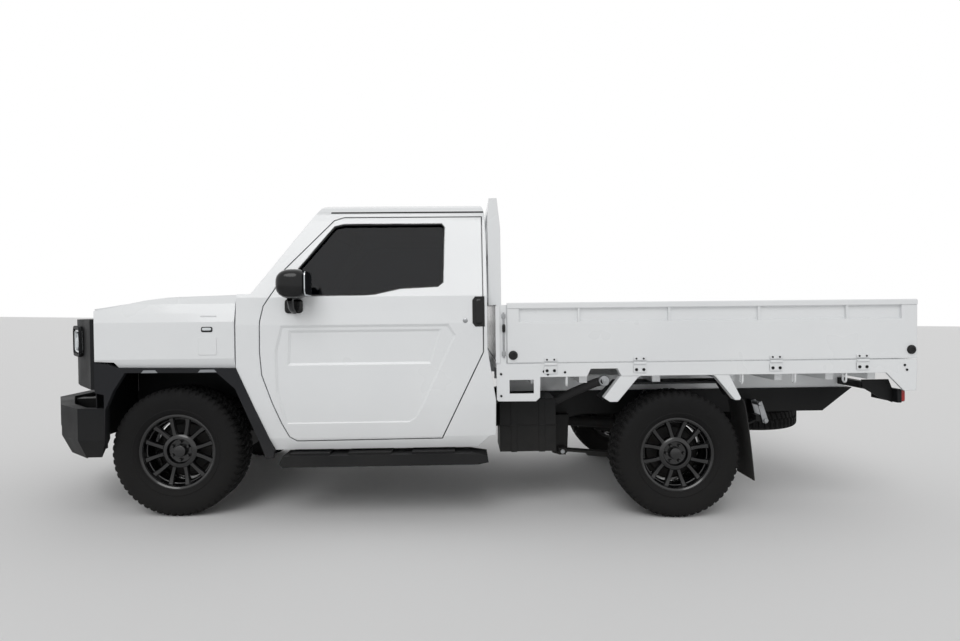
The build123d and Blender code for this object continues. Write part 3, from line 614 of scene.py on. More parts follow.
@dataclass
class Wheel:
    """A tyre with block tread on a twelve-spoke rim, drawn about its own axle.

    The wheel's z axis points away from the truck and its x axis rearward.
    """

    ending: str
    axle_x: float
    side: int
    phase_deg: float
    steered: bool
    radius: float = 352.0
    axle_z: float = 352.0
    middle_y: float = 730.0
    pitches: int = 56
    steps_a_pitch: int = 7
    groove_depth: float = 8.0
    spoke_pairs: int = 6

    def placed(self, surface: Surface) -> Surface:
        """A surface moved from the wheel's own axes to its place on the truck."""
        matrix = np.array([[1, 0, 0], [0, 0, self.side], [0, -self.side, 0]], float)
        return surface.turned(matrix, (self.axle_x, self.side * self.middle_y, self.axle_z))

    def section(self) -> np.ndarray:
        """Closed section of the tyre as (radius, height), from the outer bead over the crown."""
        half = np.array([
            (193, 84), (203, 85), (209, 95), (217, 101), (228, 106.5), (233, 109.5), (238, 107.5),
            (262, 113.5),
            (285, 116.5), (303, 116), (318, 113), (330, 108.5), (338, 104), (344, 98), (348, 92), (350, 86),
        ])
        crown = np.stack([np.full(37, 351.0), np.linspace(80, -80, 37)], -1)
        crown[:, 0] += 1.0 - (crown[:, 1] / 80) ** 2
        lower = half[::-1] * np.array([1, -1])
        inside = np.array([(196, -70), (240, -96), (330, -88), (336, 0), (330, 88), (240, 96), (196, 70)])
        return np.concatenate([half, crown, lower, inside])

    def tread(self, radius: np.ndarray, height: np.ndarray, pitch: np.ndarray) -> np.ndarray:
        """How far each point sinks, in millimetres.

        Two zigzag grooves run round at 27 mm from the middle. Slots cross the middle ribs and,
        half a pitch later, the shoulders, all slanted by the height. Below the shoulder the
        lugs run out down to a radius of 316.
        """
        share = np.mod(pitch, 1.0)
        zigzag = 5.0 * (np.abs(share - 0.5) * 4 - 1)
        around = np.abs(np.abs(height) - 29 - zigzag * np.sign(height)) < 5.2
        middle = (np.abs(height) < 29) & (np.mod(share + height * 0.009, 1.0) < 0.26)
        outer = (np.abs(height) >= 29) & (np.mod(share + 0.5 - np.abs(height) * 0.0035, 1.0) < 0.34)
        nick = np.abs(np.mod(share + 0.16 - np.abs(height) * 0.0035, 1.0) - 0.5) < 0.05
        sipe = (np.abs(height) >= 29) & nick
        fade = np.clip((radius - 316) / 26, 0, 1)
        return fade * self.groove_depth * np.maximum(
            np.maximum(around & (np.abs(height) < 60), middle), np.maximum(outer, 0.5 * sipe)
        )

    def tyre_surface(self) -> Surface:
        """The tyre's section turned round the axle and sunk by the tread's function."""
        section = self.section()
        segments = self.pitches * self.steps_a_pitch
        turn = np.linspace(0, 2 * math.pi, segments, endpoint=False)[:, None]
        radius, height = section[None, :, 0], section[None, :, 1]
        sink = self.tread(radius, height, turn / (2 * math.pi) * self.pitches)
        carcass = np.arange(len(section)) < len(section) - 7
        sink = sink * carcass[None, :]
        side_rib = 0.8 * (np.mod(turn * 180 / math.pi, 4.0) < 2.0) * ((radius > 288) & (radius < 300))
        widened = height + np.sign(height) * side_rib * carcass[None, :]
        sunk = radius - sink
        points = np.stack([sunk * np.cos(turn), sunk * np.sin(turn), widened * np.ones_like(turn)], -1)
        return Surface(points.reshape(-1, 3), grid_faces(segments, len(section), True, True))

    def tyre(self) -> None:
        """Build the tyre on this wheel."""
        make_piece(
            f"tread_tyre_{self.ending}", [self.placed(self.tyre_surface())], TYRE_RUBBER,
            f"wheel_{self.ending}", Axes.GROUND, sharp_deg=28, replaces=(f"tyre_{self.ending}",),
        )

    def spoke(self, angle_deg: float, lean_deg: float) -> Surface:
        """One spoke: a bevelled bar from the hub ring to the rim, leaning away from its twin."""
        reach = np.linspace(0, 1, 9)
        radius = 72 + reach * 116
        angle = math.radians(angle_deg) + math.radians(lean_deg) * (0.62 + 0.3 * reach)
        lift = 47 + 9 * reach**2 + 2 * np.sin(reach * math.pi)
        path = np.stack([radius * np.cos(angle), radius * np.sin(angle), lift], -1)
        outline = np.array([(-12, -16), (-15, 4), (-9, 13), (9, 13), (15, 4), (12, -16)])
        return sweep(path, outline, (0, 0, 1), 1.15 - 0.25 * np.sin(reach * math.pi))

    def rim(self) -> None:
        """Build the rim: barrel, spoke pairs, bare centre ring, nuts, cap and the brake behind."""
        barrel = lathe([
            (206.5, 92), (206.5, 87), (200, 85.8), (190.2, 84), (190.2, 60), (176, 44), (176, -40),
            (190.2, -60), (190.2, -84), (206.5, -86), (206.5, -92), (184, -92), (184, -58), (170, -38),
            (170, 40), (181, 62), (187, 74), (192, 88), (200, 93),
        ], 96, ring=True)
        well = lathe([(186, 62), (192, 50), (180, 42), (172, 46), (176, 58)], 96, ring=True)
        ring = lathe([
            (34, 30), (34, 44), (63, 46), (67, 66), (70, 69), (88, 66), (95, 60), (99, 48), (96, 30),
        ], 72, ring=True)
        cap = lathe([(33, 20), (33, 62), (31, 66), (22, 69.5), (0.5, 71)], 48)
        parts = [barrel, well, ring, cap]
        for pair in range(self.spoke_pairs):
            angle = self.phase_deg + pair * 60
            parts += [self.spoke(angle, 17.5), self.spoke(angle, -17.5)]
            nut = math.radians(angle + 30)
            parts.append(bolt((49 * math.cos(nut), 49 * math.sin(nut), 44), (0, 0, 1), 9.5, 18))
        body = f"wheel_{self.ending}"
        make_piece(
            f"spoked_rim_{self.ending}", [self.placed(part) for part in parts], WHEEL_ENAMEL, body,
            Axes.GROUND, replaces=(f"rim_{self.ending}",),
        )
        disc = lathe(
            [(45, -40), (45, -22), (72, -22), (74, -38), (136, -38), (138, -42), (138, -56), (72, -56)],
            72, ring=True,
        )
        drum = lathe([(60, -20), (72, -30), (72, -62), (30, -64), (30, -20)], 48, ring=True)
        make_piece(
            f"brake_disc_{self.ending}", [self.placed(disc), self.placed(drum)], CAST_IRON, body,
            Axes.GROUND,
        )

    def dust_shield(self) -> None:
        """Build the pressed shield behind the brake, which stays still as the wheel turns."""
        shield = lathe([
            (76, -64), (120, -66), (160, -62), (166, -54), (166, -48), (163, -48), (163, -53), (158, -58),
            (120, -61), (76, -60),
        ], 64, ring=True)
        body = f"knuckle_{self.ending.split('_')[1]}" if self.steered else "chassis"
        make_piece(
            f"dust_shield_{self.ending}", [self.placed(shield)], CHASSIS_ENAMEL, body, Axes.GROUND,
        )

    def build(self) -> None:
        """Build the whole wheel."""
        self.tyre()
        self.rim()
        self.dust_shield()


def skin_y(z: np.ndarray) -> np.ndarray:
    """Half width of the cab's skin at a height, read between the corners of its cross-section."""
    heights = [366, 430, 600, 1042, 1110, 1190, 1618, 1656, 1696]
    halves = [862, 878, 886, 886, 876, 866, 730, 712, 672]
    return np.interp(z, heights, halves)


def on_skin(surface: Surface, side: int) -> Surface:
    """A surface drawn with y as its distance out of the cab's skin, laid onto one side."""
    points = surface.points.copy()
    points[:, 1] = side * (skin_y(points[:, 2]) + points[:, 1])
    return Surface(points, surface.faces)


def span(side: int, inner: float, outer: float) -> Pair:
    """Two distances from the middle, as limits of y on one side, the smaller one first."""
    low, high = sorted((side * inner, side * outer))
    return low, high


def along(
    profile: list[Pair], centre: Point, direction: Point,
    segments: int = 32,
) -> Surface:
    """A turned form of (radius, height) pairs standing at a centre along a direction."""
    axis = Vector(direction).to_track_quat("Z", "Y").to_matrix()
    return lathe(profile, segments).turned(np.array(axis), centre)


def dense(outline: list[Pair], step: float = 40.0) -> np.ndarray:
    """Points along a closed outline no further apart than a step."""
    corners = np.array(outline, float)
    legs = []
    for start, end in zip(corners, np.roll(corners, -1, axis=0)):
        count = max(1, int(np.linalg.norm(end - start) / step))
        legs.append(start + np.linspace(0, 1, count, endpoint=False)[:, None] * (end - start))
    return np.concatenate(legs)


@dataclass
class Door:
    """What a door carries: handle, lock, window seal, mirror, inner card."""

    name: str
    side: int
    window: tuple = (
        (705, 1196), (1028, 1199), (1091, 1204), (1227, 1233), (1431, 1243), (1458, 1265), (1467, 1579),
        (1451, 1597), (909, 1597), (856, 1584), (671, 1351), (676, 1206),
    )
    handle: tuple = (
        (1632, 1022), (1683, 1022), (1683, 1042), (1683, 1110), (1683, 1185), (1632, 1185), (1617, 1165),
        (1617, 1110), (1617, 1042),
    )
    mirror_middle: Point = (684, 990, 1256)
    mirror_size: Point = (162, 168, 154)

    @property
    def body(self) -> str:
        """The body that the door's pieces ride on."""
        return f"door_{self.name}"

    def outside(self) -> None:
        """Build the handle in its black recess, the lock and the window's seal."""
        plate = slab(list(self.handle), -5, 2.5)
        grip = pillow((1652, 9, 1104), (34, 15, 136), 5)
        make_piece(
            f"handle_{self.name}", [on_skin(plate, self.side), on_skin(grip, self.side)], GLOSS_PLASTIC,
            self.body, bevel_mm=1.5,
        )
        lock = along([(13, -2), (13, 2), (10, 4), (3, 4.5)], (1578, self.side * 885, 1055), (0, self.side, 0))
        make_piece(f"lock_{self.name}", [lock], ZINC_STEEL, self.body)
        outline = dense(list(self.window), 60)
        path = np.stack([outline[:, 0], np.full(len(outline), -6.0), outline[:, 1]], -1)
        seal = sweep(path, rounded(14, 12, 3, 2), (0, 1, 0), closed=True)
        make_piece(f"window_seal_{self.name}", [on_skin(seal, self.side)], SEAL_RUBBER, self.body)

    def mirror(self) -> None:
        """Build the mirror: swelling shell, recessed glass, arm and foot."""
        x, y, z = self.mirror_middle
        shell = pillow((x, self.side * y, z), self.mirror_size, 3.2, 28, 40)
        taper = 1 - 0.22 * (shell.points[:, 0] < x) * ((x - shell.points[:, 0]) / 81) ** 2
        shell.points[:, 2] = z + (shell.points[:, 2] - z) * taper
        arm = sweep(
            np.array([
                (668, self.side * 985, 1190), (664, self.side * 940, 1150), (662, self.side * 882, 1138),
            ]),
            rounded(76, 34, 12), (1, 0, 0), np.array([0.8, 0.9, 1.0]),
        )
        foot = pillow((658, self.side * 881, 1142), (96, 18, 78), 5)
        make_piece(
            f"mirror_shell_{self.name}", [shell, arm, foot], GLOSS_PLASTIC, self.body,
            replaces=(f"mirror_{self.name}",),
        )
        glass = pillow((x + 77, self.side * y, z), (9, 146, 128), 6)
        make_piece(f"mirror_glass_{self.name}", [glass], MIRROR_GLASS, self.body)

    def inside(self) -> None:
        """Build the door card with its armrest, pull and window winder."""
        low, high = span(self.side, 806, 826)
        card = slab([(600, 620), (1560, 620), (1610, 700), (1610, 1030), (600, 1030)], low, high)
        pocket = slab([(700, 630), (1300, 630), (1270, 760), (720, 760)], *span(self.side, 786, 808))
        rest = pillow((1180, self.side * 792, 905), (430, 46, 62), 5)
        winder = along([(24, 0), (24, 10), (12, 14)], (900, self.side * 806, 860), (0, -self.side, 0))
        lever = rod((900, self.side * 794, 860), (965, self.side * 790, 905), 7)
        make_piece(
            f"door_card_{self.name}", [card, pocket, rest, winder, lever], CABIN_PLASTIC, self.body,
            bevel_mm=5,
        )

    def build(self) -> None:
        """Build everything on this door."""
        self.outside()
        self.mirror()
        self.inside()


@dataclass
class CabTrim:
    """Seals, wipers and small plates of the cab and the wings."""

    screen_corners: tuple = ((-770, -215), (770, -215), (652, 225), (-652, 225))
    rear_window: tuple = ((-600, 1240), (600, 1240), (560, 1560), (-560, 1560))
    wiper_pivots: tuple = (520.0, -60.0)

    def on_screen(self, u: np.ndarray, v: np.ndarray, proud: float) -> np.ndarray:
        """Windscreen points: across by u, up the slope by v, bowed out by 45 - 62 (u / 900) squared."""
        out = 45 - 62 * (u / 900) ** 2 + proud
        return np.stack([579 + 0.6127 * v - 0.7903 * out, u, 1432 + 0.7903 * v + 0.6127 * out], -1)

    def glazing(self) -> None:
        """Build the rubber round the windscreen and the rear window."""
        outline = dense(list(self.screen_corners), 70)
        path = self.on_screen(outline[:, 0], outline[:, 1], -2.0)
        make_piece(
            "screen_rubber", [sweep(path, rounded(22, 9, 3, 2), (-0.79, 0, 0.613), closed=True)], SEAL_RUBBER,
            "chassis",
        )
        pane = dense(list(self.rear_window), 120)
        back = np.stack([np.full(len(pane), 1696.0), pane[:, 0], pane[:, 1]], -1)
        make_piece(
            "rear_window_rubber", [sweep(back, rounded(18, 9, 3, 2), (1, 0, 0), closed=True)], SEAL_RUBBER,
            "chassis",
        )

    def wipers(self) -> None:
        """Build two wipers that lie along the foot of the windscreen."""
        parts = []
        for pivot in self.wiper_pivots:
            reach = np.linspace(0, 1, 10)
            arm = self.on_screen(pivot - 330 * reach, -206 + 34 * reach, 12.0)
            blade = self.on_screen(pivot - 40 - 500 * reach, -196 + 40 * reach, 6.0)
            parts.append(sweep(arm, rounded(12, 6, 2, 2), (-0.79, 0, 0.613), 1.2 - 0.5 * reach))
            parts.append(sweep(blade, rounded(9, 8, 2, 2), (-0.79, 0, 0.613)))
            foot = self.on_screen(np.array([pivot]), np.array([-210.0]), -2.0)[0]
            parts.append(along([(15, 0), (15, 14), (8, 20)], tuple(foot), (-0.79, 0, 0.613), 20))
        make_piece("wipers", parts, GRAINED_PLASTIC, "chassis")

    def drip_rails(self) -> None:
        """Build the dark strip along each edge of the roof."""
        parts = []
        for side in SIDES.values():
            x = np.linspace(830, 1686, 24)
            path = np.stack([x, np.zeros(24), np.full(24, 1667.0)], -1)
            parts.append(on_skin(sweep(path, rounded(7, 9, 2, 2)), side))
        make_piece("drip_rails", parts, SEAL_RUBBER, "chassis")

    def wing_plates(self) -> None:
        """Build the side marker lamps, cover plates and short ribs on the wings, and light grey pads on the
        arch trims' tops that paint the highlights of their notches.
        """
        lenses, bezels, plates, painted_highlight_pads = [], [], [], []
        for side in SIDES.values():
            bezel = rounded(60, 28, 8, 3) + np.array([196, 1022])
            bezels.append(slab(bezel.tolist(), *span(side, 883, 889)))
            lenses.append(pillow((196, side * 886, 1024), (48, 12, 15), 5))
            cover = rounded(98, 96, 8, 3) + np.array([198, 933])
            plates.append(slab(cover.tolist(), *span(side, 884, 888.5)))
            rib = rounded(86, 7, 3, 2) + np.array([201, 1094])
            plates.append(slab(rib.tolist(), *span(side, 870, 880.5)))
            # Painted highlight: light grey pads on the arch trims' tops stand for the glints of their notches
            for low, high in ((-153, -64), (147, 248)):
                clip = [(low, 793), (high, 793), (high - 14, 808), (low + 14, 808)]
                painted_highlight_pads.append(slab(clip, *span(side, 884, 894.5)))
        make_piece("side_markers", lenses, LAMP_LENS, "chassis")
        make_piece("side_marker_bezels", bezels, GLOSS_PLASTIC, "chassis", bevel_mm=1)
        make_piece("wing_plates", plates, WHITE_ENAMEL, "chassis", bevel_mm=1.2)
        make_piece("flare_painted_highlights", painted_highlight_pads, PAINTED_HIGHLIGHT_GREY, "chassis", bevel_mm=1.5)

    def build(self) -> None:
        """Build all trim."""
        self.glazing()
        self.wipers()
        self.drip_rails()
        self.wing_plates()


@dataclass
class FrontEnd:
    """Headlamps in their pockets, fog lamps, the mesh behind the bars and tow points."""

    lamp_place: Point = (-652, 592, 955)
    lamp_width: float = 236.0
    lamp_height: float = 138.0

    def from_lamp(self, surface: Surface, side: int) -> Surface:
        """A surface drawn on a lamp's face, across, up and out, moved to the nose's corner."""
        x, y, z = self.lamp_place
        matrix = np.array([[0.6, 0, -0.8], [0.8 * side, 0, 0.6 * side], [0, 1, 0]])
        return surface.turned(matrix, (x, side * y, z))

    def headlamps(self) -> None:
        """Build each lamp: dark tray, two projectors and bright ring."""
        for name, side in SIDES.items():
            tray = slab(rounded(self.lamp_width - 2, self.lamp_height - 2, 26).tolist(), -19, -6, Lay.PLAN)
            make_piece(
                f"headlamp_tray_{name}", [self.from_lamp(tray, side)], GLOSS_PLASTIC, "chassis",
                bevel_mm=2, replaces=("lamps",) if side < 0 else (),
            )
            ring = rounded(self.lamp_width - 18, self.lamp_height - 18, 24, 6)
            path = np.stack([ring[:, 0], ring[:, 1], np.full(len(ring), 2.0)], -1)
            bright = [sweep(path, rounded(13, 16, 4, 3), (0, 0, 1), closed=True)]
            bowl = lathe([(47, -12), (47, 4), (42, 6), (36, -2), (30, -8), (28, -10)], 40, ring=True)
            dome = lathe([(29, -11), (29, -2), (24, 4), (14, 8.5), (1, 10)], 40)
            bowls = [bowl.moved((middle, 0, 0)) for middle in (-52, 52)]
            bright += [dome.moved((middle, 0, 0)) for middle in (-52, 52)]
            for kind, group, finish in (("lens", bright, LAMP_LENS), ("bowls", bowls, MIRROR_GLASS)):
                placed = [self.from_lamp(part, side) for part in group]
                make_piece(f"headlamp_{kind}_{name}", placed, finish, "chassis", slot="lamp_lens")

    def fog_lamps(self) -> None:
        """Build a round fog lamp in each of the bumper's corner pockets."""
        parts = [
            along([(24, -4), (24, 10), (20, 14), (10, 17), (1, 18)], (-856, side * 396, 515), (-1, 0, 0))
            for side in SIDES.values()
        ]
        make_piece("fog_lamps", parts, LAMP_LENS, "chassis")

    def mesh(self) -> None:
        """Build the upright slats behind the grille's bars and the net of the lower mouth."""
        parts = []
        for y in np.arange(-408, 409, 24):
            parts.append(block((-760, -742), (y - 2.5, y + 2.5), (864, 1058)))
        for y in np.arange(-320, 321, 20):
            parts.append(block((-756, -741), (y - 2, y + 2), (730, 826)))
        for z in (752, 776, 800):
            parts.append(block((-758, -742), (-328, 328), (z - 2, z + 2)))
        make_piece("grille_mesh", parts, GRAINED_PLASTIC, "chassis")

    def tow_points(self) -> None:
        """Build two tow hooks below the bumper."""
        parts = []
        for side in SIDES.values():
            turn = np.linspace(-math.pi / 2, math.pi * 0.9, 14)
            path = np.stack(
                [-800 - 34 * np.cos(turn), np.full(14, side * 300.0), 400 + 34 * np.sin(turn)], -1
            )
            parts.append(sweep(path, circle(8, 12), (0, 1, 0)))
            parts.append(rod((-800, side * 300, 366), (-660, side * 300, 440), 9))
        make_piece("tow_hooks", parts, CHASSIS_ENAMEL, "chassis")

    def build(self) -> None:
        """Build the whole front end."""
        self.headlamps()
        self.fog_lamps()
        self.mesh()
        self.tow_points()


@dataclass
class EngineBay:
    """What shows under the open hood: engine cover, radiator, air box and battery."""

    block_x: Pair = (-480, 130)
    block_top: float = 930.0

    def engine(self) -> None:
        """Build the engine's ribbed cover, its cast flank ribs and the belt pulleys before it."""
        middle = sum(self.block_x) / 2
        cover = [pillow((middle, 0, self.block_top + 12), (520, 330, 84), 7, 24, 48)]
        rib = slab(rounded(430, 14, 6).tolist(), self.block_top + 50, self.block_top + 58, Lay.PLAN)
        cover += [rib.moved((middle, y, 0)) for y in range(-110, 111, 44)]
        ribs = [
            block((x - 6, x + 6), span(side, 228, 240), (560, 905))
            for side in SIDES.values() for x in range(-440, 101, 60)
        ]
        pulleys = [
            along(
                [(radius, 0), (radius, 26), (radius - 8, 22), (22, 22), (20, 30)],
                (-480, y, z), (-1, 0, 0), 40,
            )
            for radius, y, z in ((82, 0, 540), (58, 130, 720), (48, -120, 760), (62, 0, 740))
        ]
        make_piece("engine_cover", cover, GRAINED_PLASTIC, "chassis", bevel_mm=2)
        make_piece("engine_ribs", ribs + pulleys, CAST_IRON, "chassis", bevel_mm=2)

    def radiator(self) -> None:
        """Build the radiator: finned core between two side tanks, with a top hose to the engine."""
        fins = [block((-618, -584), (-300, 300), (z, z + 3)) for z in range(600, 991, 9)]
        tanks = [pillow((-601, y, 796), (56, 44, 420), 7) for y in (-318, 318)]
        hose = sweep(
            np.array([(-590, 240, 960), (-540, 230, 985), (-480, 190, 975), (-440, 150, 940)], float),
            circle(21, 18),
        )
        make_piece("radiator_fins", fins, ALUMINISED_STEEL, "chassis")
        make_piece("radiator_tanks", tanks + [hose], SEAL_RUBBER, "chassis")

    def side_boxes(self) -> None:
        """Build the air-filter box and the battery on their shelves at the inner walls."""
        box = [pillow((-110, 326, 870), (290, 160, 190), 8, 20, 40)]
        box.append(block((-270, 50), (240, 412), (762, 776)))
        duct = sweep(
            np.array([(-230, 320, 900), (-330, 300, 930), (-420, 200, 985), (-430, 120, 960)], float),
            circle(32, 20),
        )
        battery = [block((-130, 110), (-400, -245), (776, 940)), block((-150, 130), (-412, -238), (762, 776))]
        posts = [along([(9, 0), (9, 18), (6, 20)], (x, -290, 940), (0, 0, 1)) for x in (-90, 70)]
        make_piece("air_box", box + [duct], GRAINED_PLASTIC, "chassis", bevel_mm=3)
        make_piece("battery", battery, CABIN_PLASTIC, "chassis", bevel_mm=6)
        make_piece("battery_posts", posts, ZINC_STEEL, "chassis")

    def build(self) -> None:
        """Build what the hood covers."""
        self.engine()
        self.radiator()
        self.side_boxes()


@dataclass
class Underbody:
    """Arch liners, spring clamps, shackles, tank straps and the spare wheel."""

    spring_y: float = 515.0
    axle: Pair = (2750.0, 352.0)
    spare_middle: Point = (3470.0, 0.0, 420.0)
    spare_radius: float = 340.0
    spare_half_width: float = 100.0

    def liners(self) -> None:
        """Build the dark liners of the front arches: inner wall, roof, front and rear walls."""
        parts = []
        rear_wall = [(350, 806), (357, 806), (486, 470), (479, 470)]
        for side in SIDES.values():
            parts.append(block((-404, 352), span(side, 412, 420), (600, 1080)))
            parts.append(block((-410, 356), span(side, 414, 866), (799, 806)))
            parts.append(block((-410, -404), span(side, 420, 862), (440, 806)))
            parts.append(slab(rear_wall, *span(side, 418, 862)))
        make_piece("arch_liners", parts, GRAINED_PLASTIC, "chassis", bevel_mm=2)

    def spring_clamps(self) -> None:
        """Build the U-bolts over the rear axle, with the nuts under their plates."""
        parts = []
        x, z = self.axle
        turn = np.linspace(math.pi, 0, 16)
        for side in SIDES.values():
            for y in (side * (self.spring_y - 24), side * (self.spring_y + 24)):
                bend = np.stack([x + 52 * np.cos(turn), np.full(16, y), z + 52 * np.sin(turn)], -1)
                legs = np.array([(x - 52, y, 152), (x + 52, y, 152)], float)
                parts.append(sweep(np.concatenate([legs[:1], bend, legs[1:]]), circle(7, 12), (0, 1, 0)))
                parts += [bolt((x + dx, y, 160), (0, 0, -1), 12, 12) for dx in (-52, 52)]
        make_piece("spring_clamps", parts, CHASSIS_ENAMEL, "chassis")

    def shackles(self) -> None:
        """Build the bright shackle plates and pins at the rear end of each spring."""
        parts = []
        plate = [(3322, 540), (3350, 548), (3390, 428), (3376, 412), (3356, 418)]
        for side in SIDES.values():
            for low, high in ((553, 560), (472, 478)):
                parts.append(slab(plate, *span(side, low, high)))
            for x, z in ((3337, 532), (3372, 430)):
                parts.append(bolt((x, side * 560, z), (0, side, 0), 15, 10))
            parts.append(rod((3337, side * 470, 532), (3337, side * 556, 532), 12))
            parts.append(rod((2150, side * 470, 264), (2150, side * 562, 264), 13))
        make_piece("shackle_plates", parts, ZINC_STEEL, "chassis", bevel_mm=1.5)

    def tank_straps(self) -> None:
        """Build two steel straps round the fuel tank and the flange of its seam."""
        parts = [block((x - 18, x + 18), (-703, -417), (297, 603)) for x in (1850, 2010)]
        parts.append(block((1766, 2094), (-704, -416), (446, 452)))
        make_piece("tank_straps", parts, CHASSIS_ENAMEL, "chassis", bevel_mm=2)

    def silencer(self) -> None:
        """Build the silencer's rolled end seams and the pipe's clamps."""
        seam = [(27, -6), (74, -6), (76, 0), (74, 6), (27, 6)]
        clamp = [(27, -14), (30, -14), (30, 14), (27, 14)]
        parts = [along(seam, (x, 255, 376), (1, 0, 0), 48) for x in (1294, 1706)]
        parts += [along(clamp, (x, 255, 366), (1, 0, 0)) for x in (500, 1100, 1900)]
        make_piece("silencer_seams", parts, ALUMINISED_STEEL, "chassis")

    def spare_wheel(self) -> None:
        """Build the spare wheel that lies flat under the rear overhang: worn tread and steel rim."""
        wheel = Wheel("spare", 0.0, 1, 0.0, False)
        drawn_radius, drawn_half_width = 352.2, 117.5
        across = self.spare_radius / drawn_radius
        shrink = np.diag([across, across, self.spare_half_width / drawn_half_width])
        tyre = wheel.tyre_surface().turned(shrink, self.spare_middle)
        rim = lathe([
            (203, 78), (198, 80), (188, 70), (186, 40), (176, 30), (176, -30), (186, -46), (190, -72),
            (198, -80), (203, -78), (184, -74), (170, -28), (150, 4), (120, 12), (62, 2), (58, 8),
            (120, 18), (156, 12), (170, 26), (182, 66),
        ], 72, ring=True).moved(self.spare_middle)
        make_piece("spare_tyre", [tyre], TYRE_RUBBER, "chassis", sharp_deg=28, replaces=("spare_wheel",))
        make_piece("spare_rim", [rim], CHASSIS_ENAMEL, "chassis")

    def build(self) -> None:
        """Build everything under the truck."""
        self.liners()
        self.spring_clamps()
        self.shackles()
        self.tank_straps()
        self.silencer()
        self.spare_wheel()


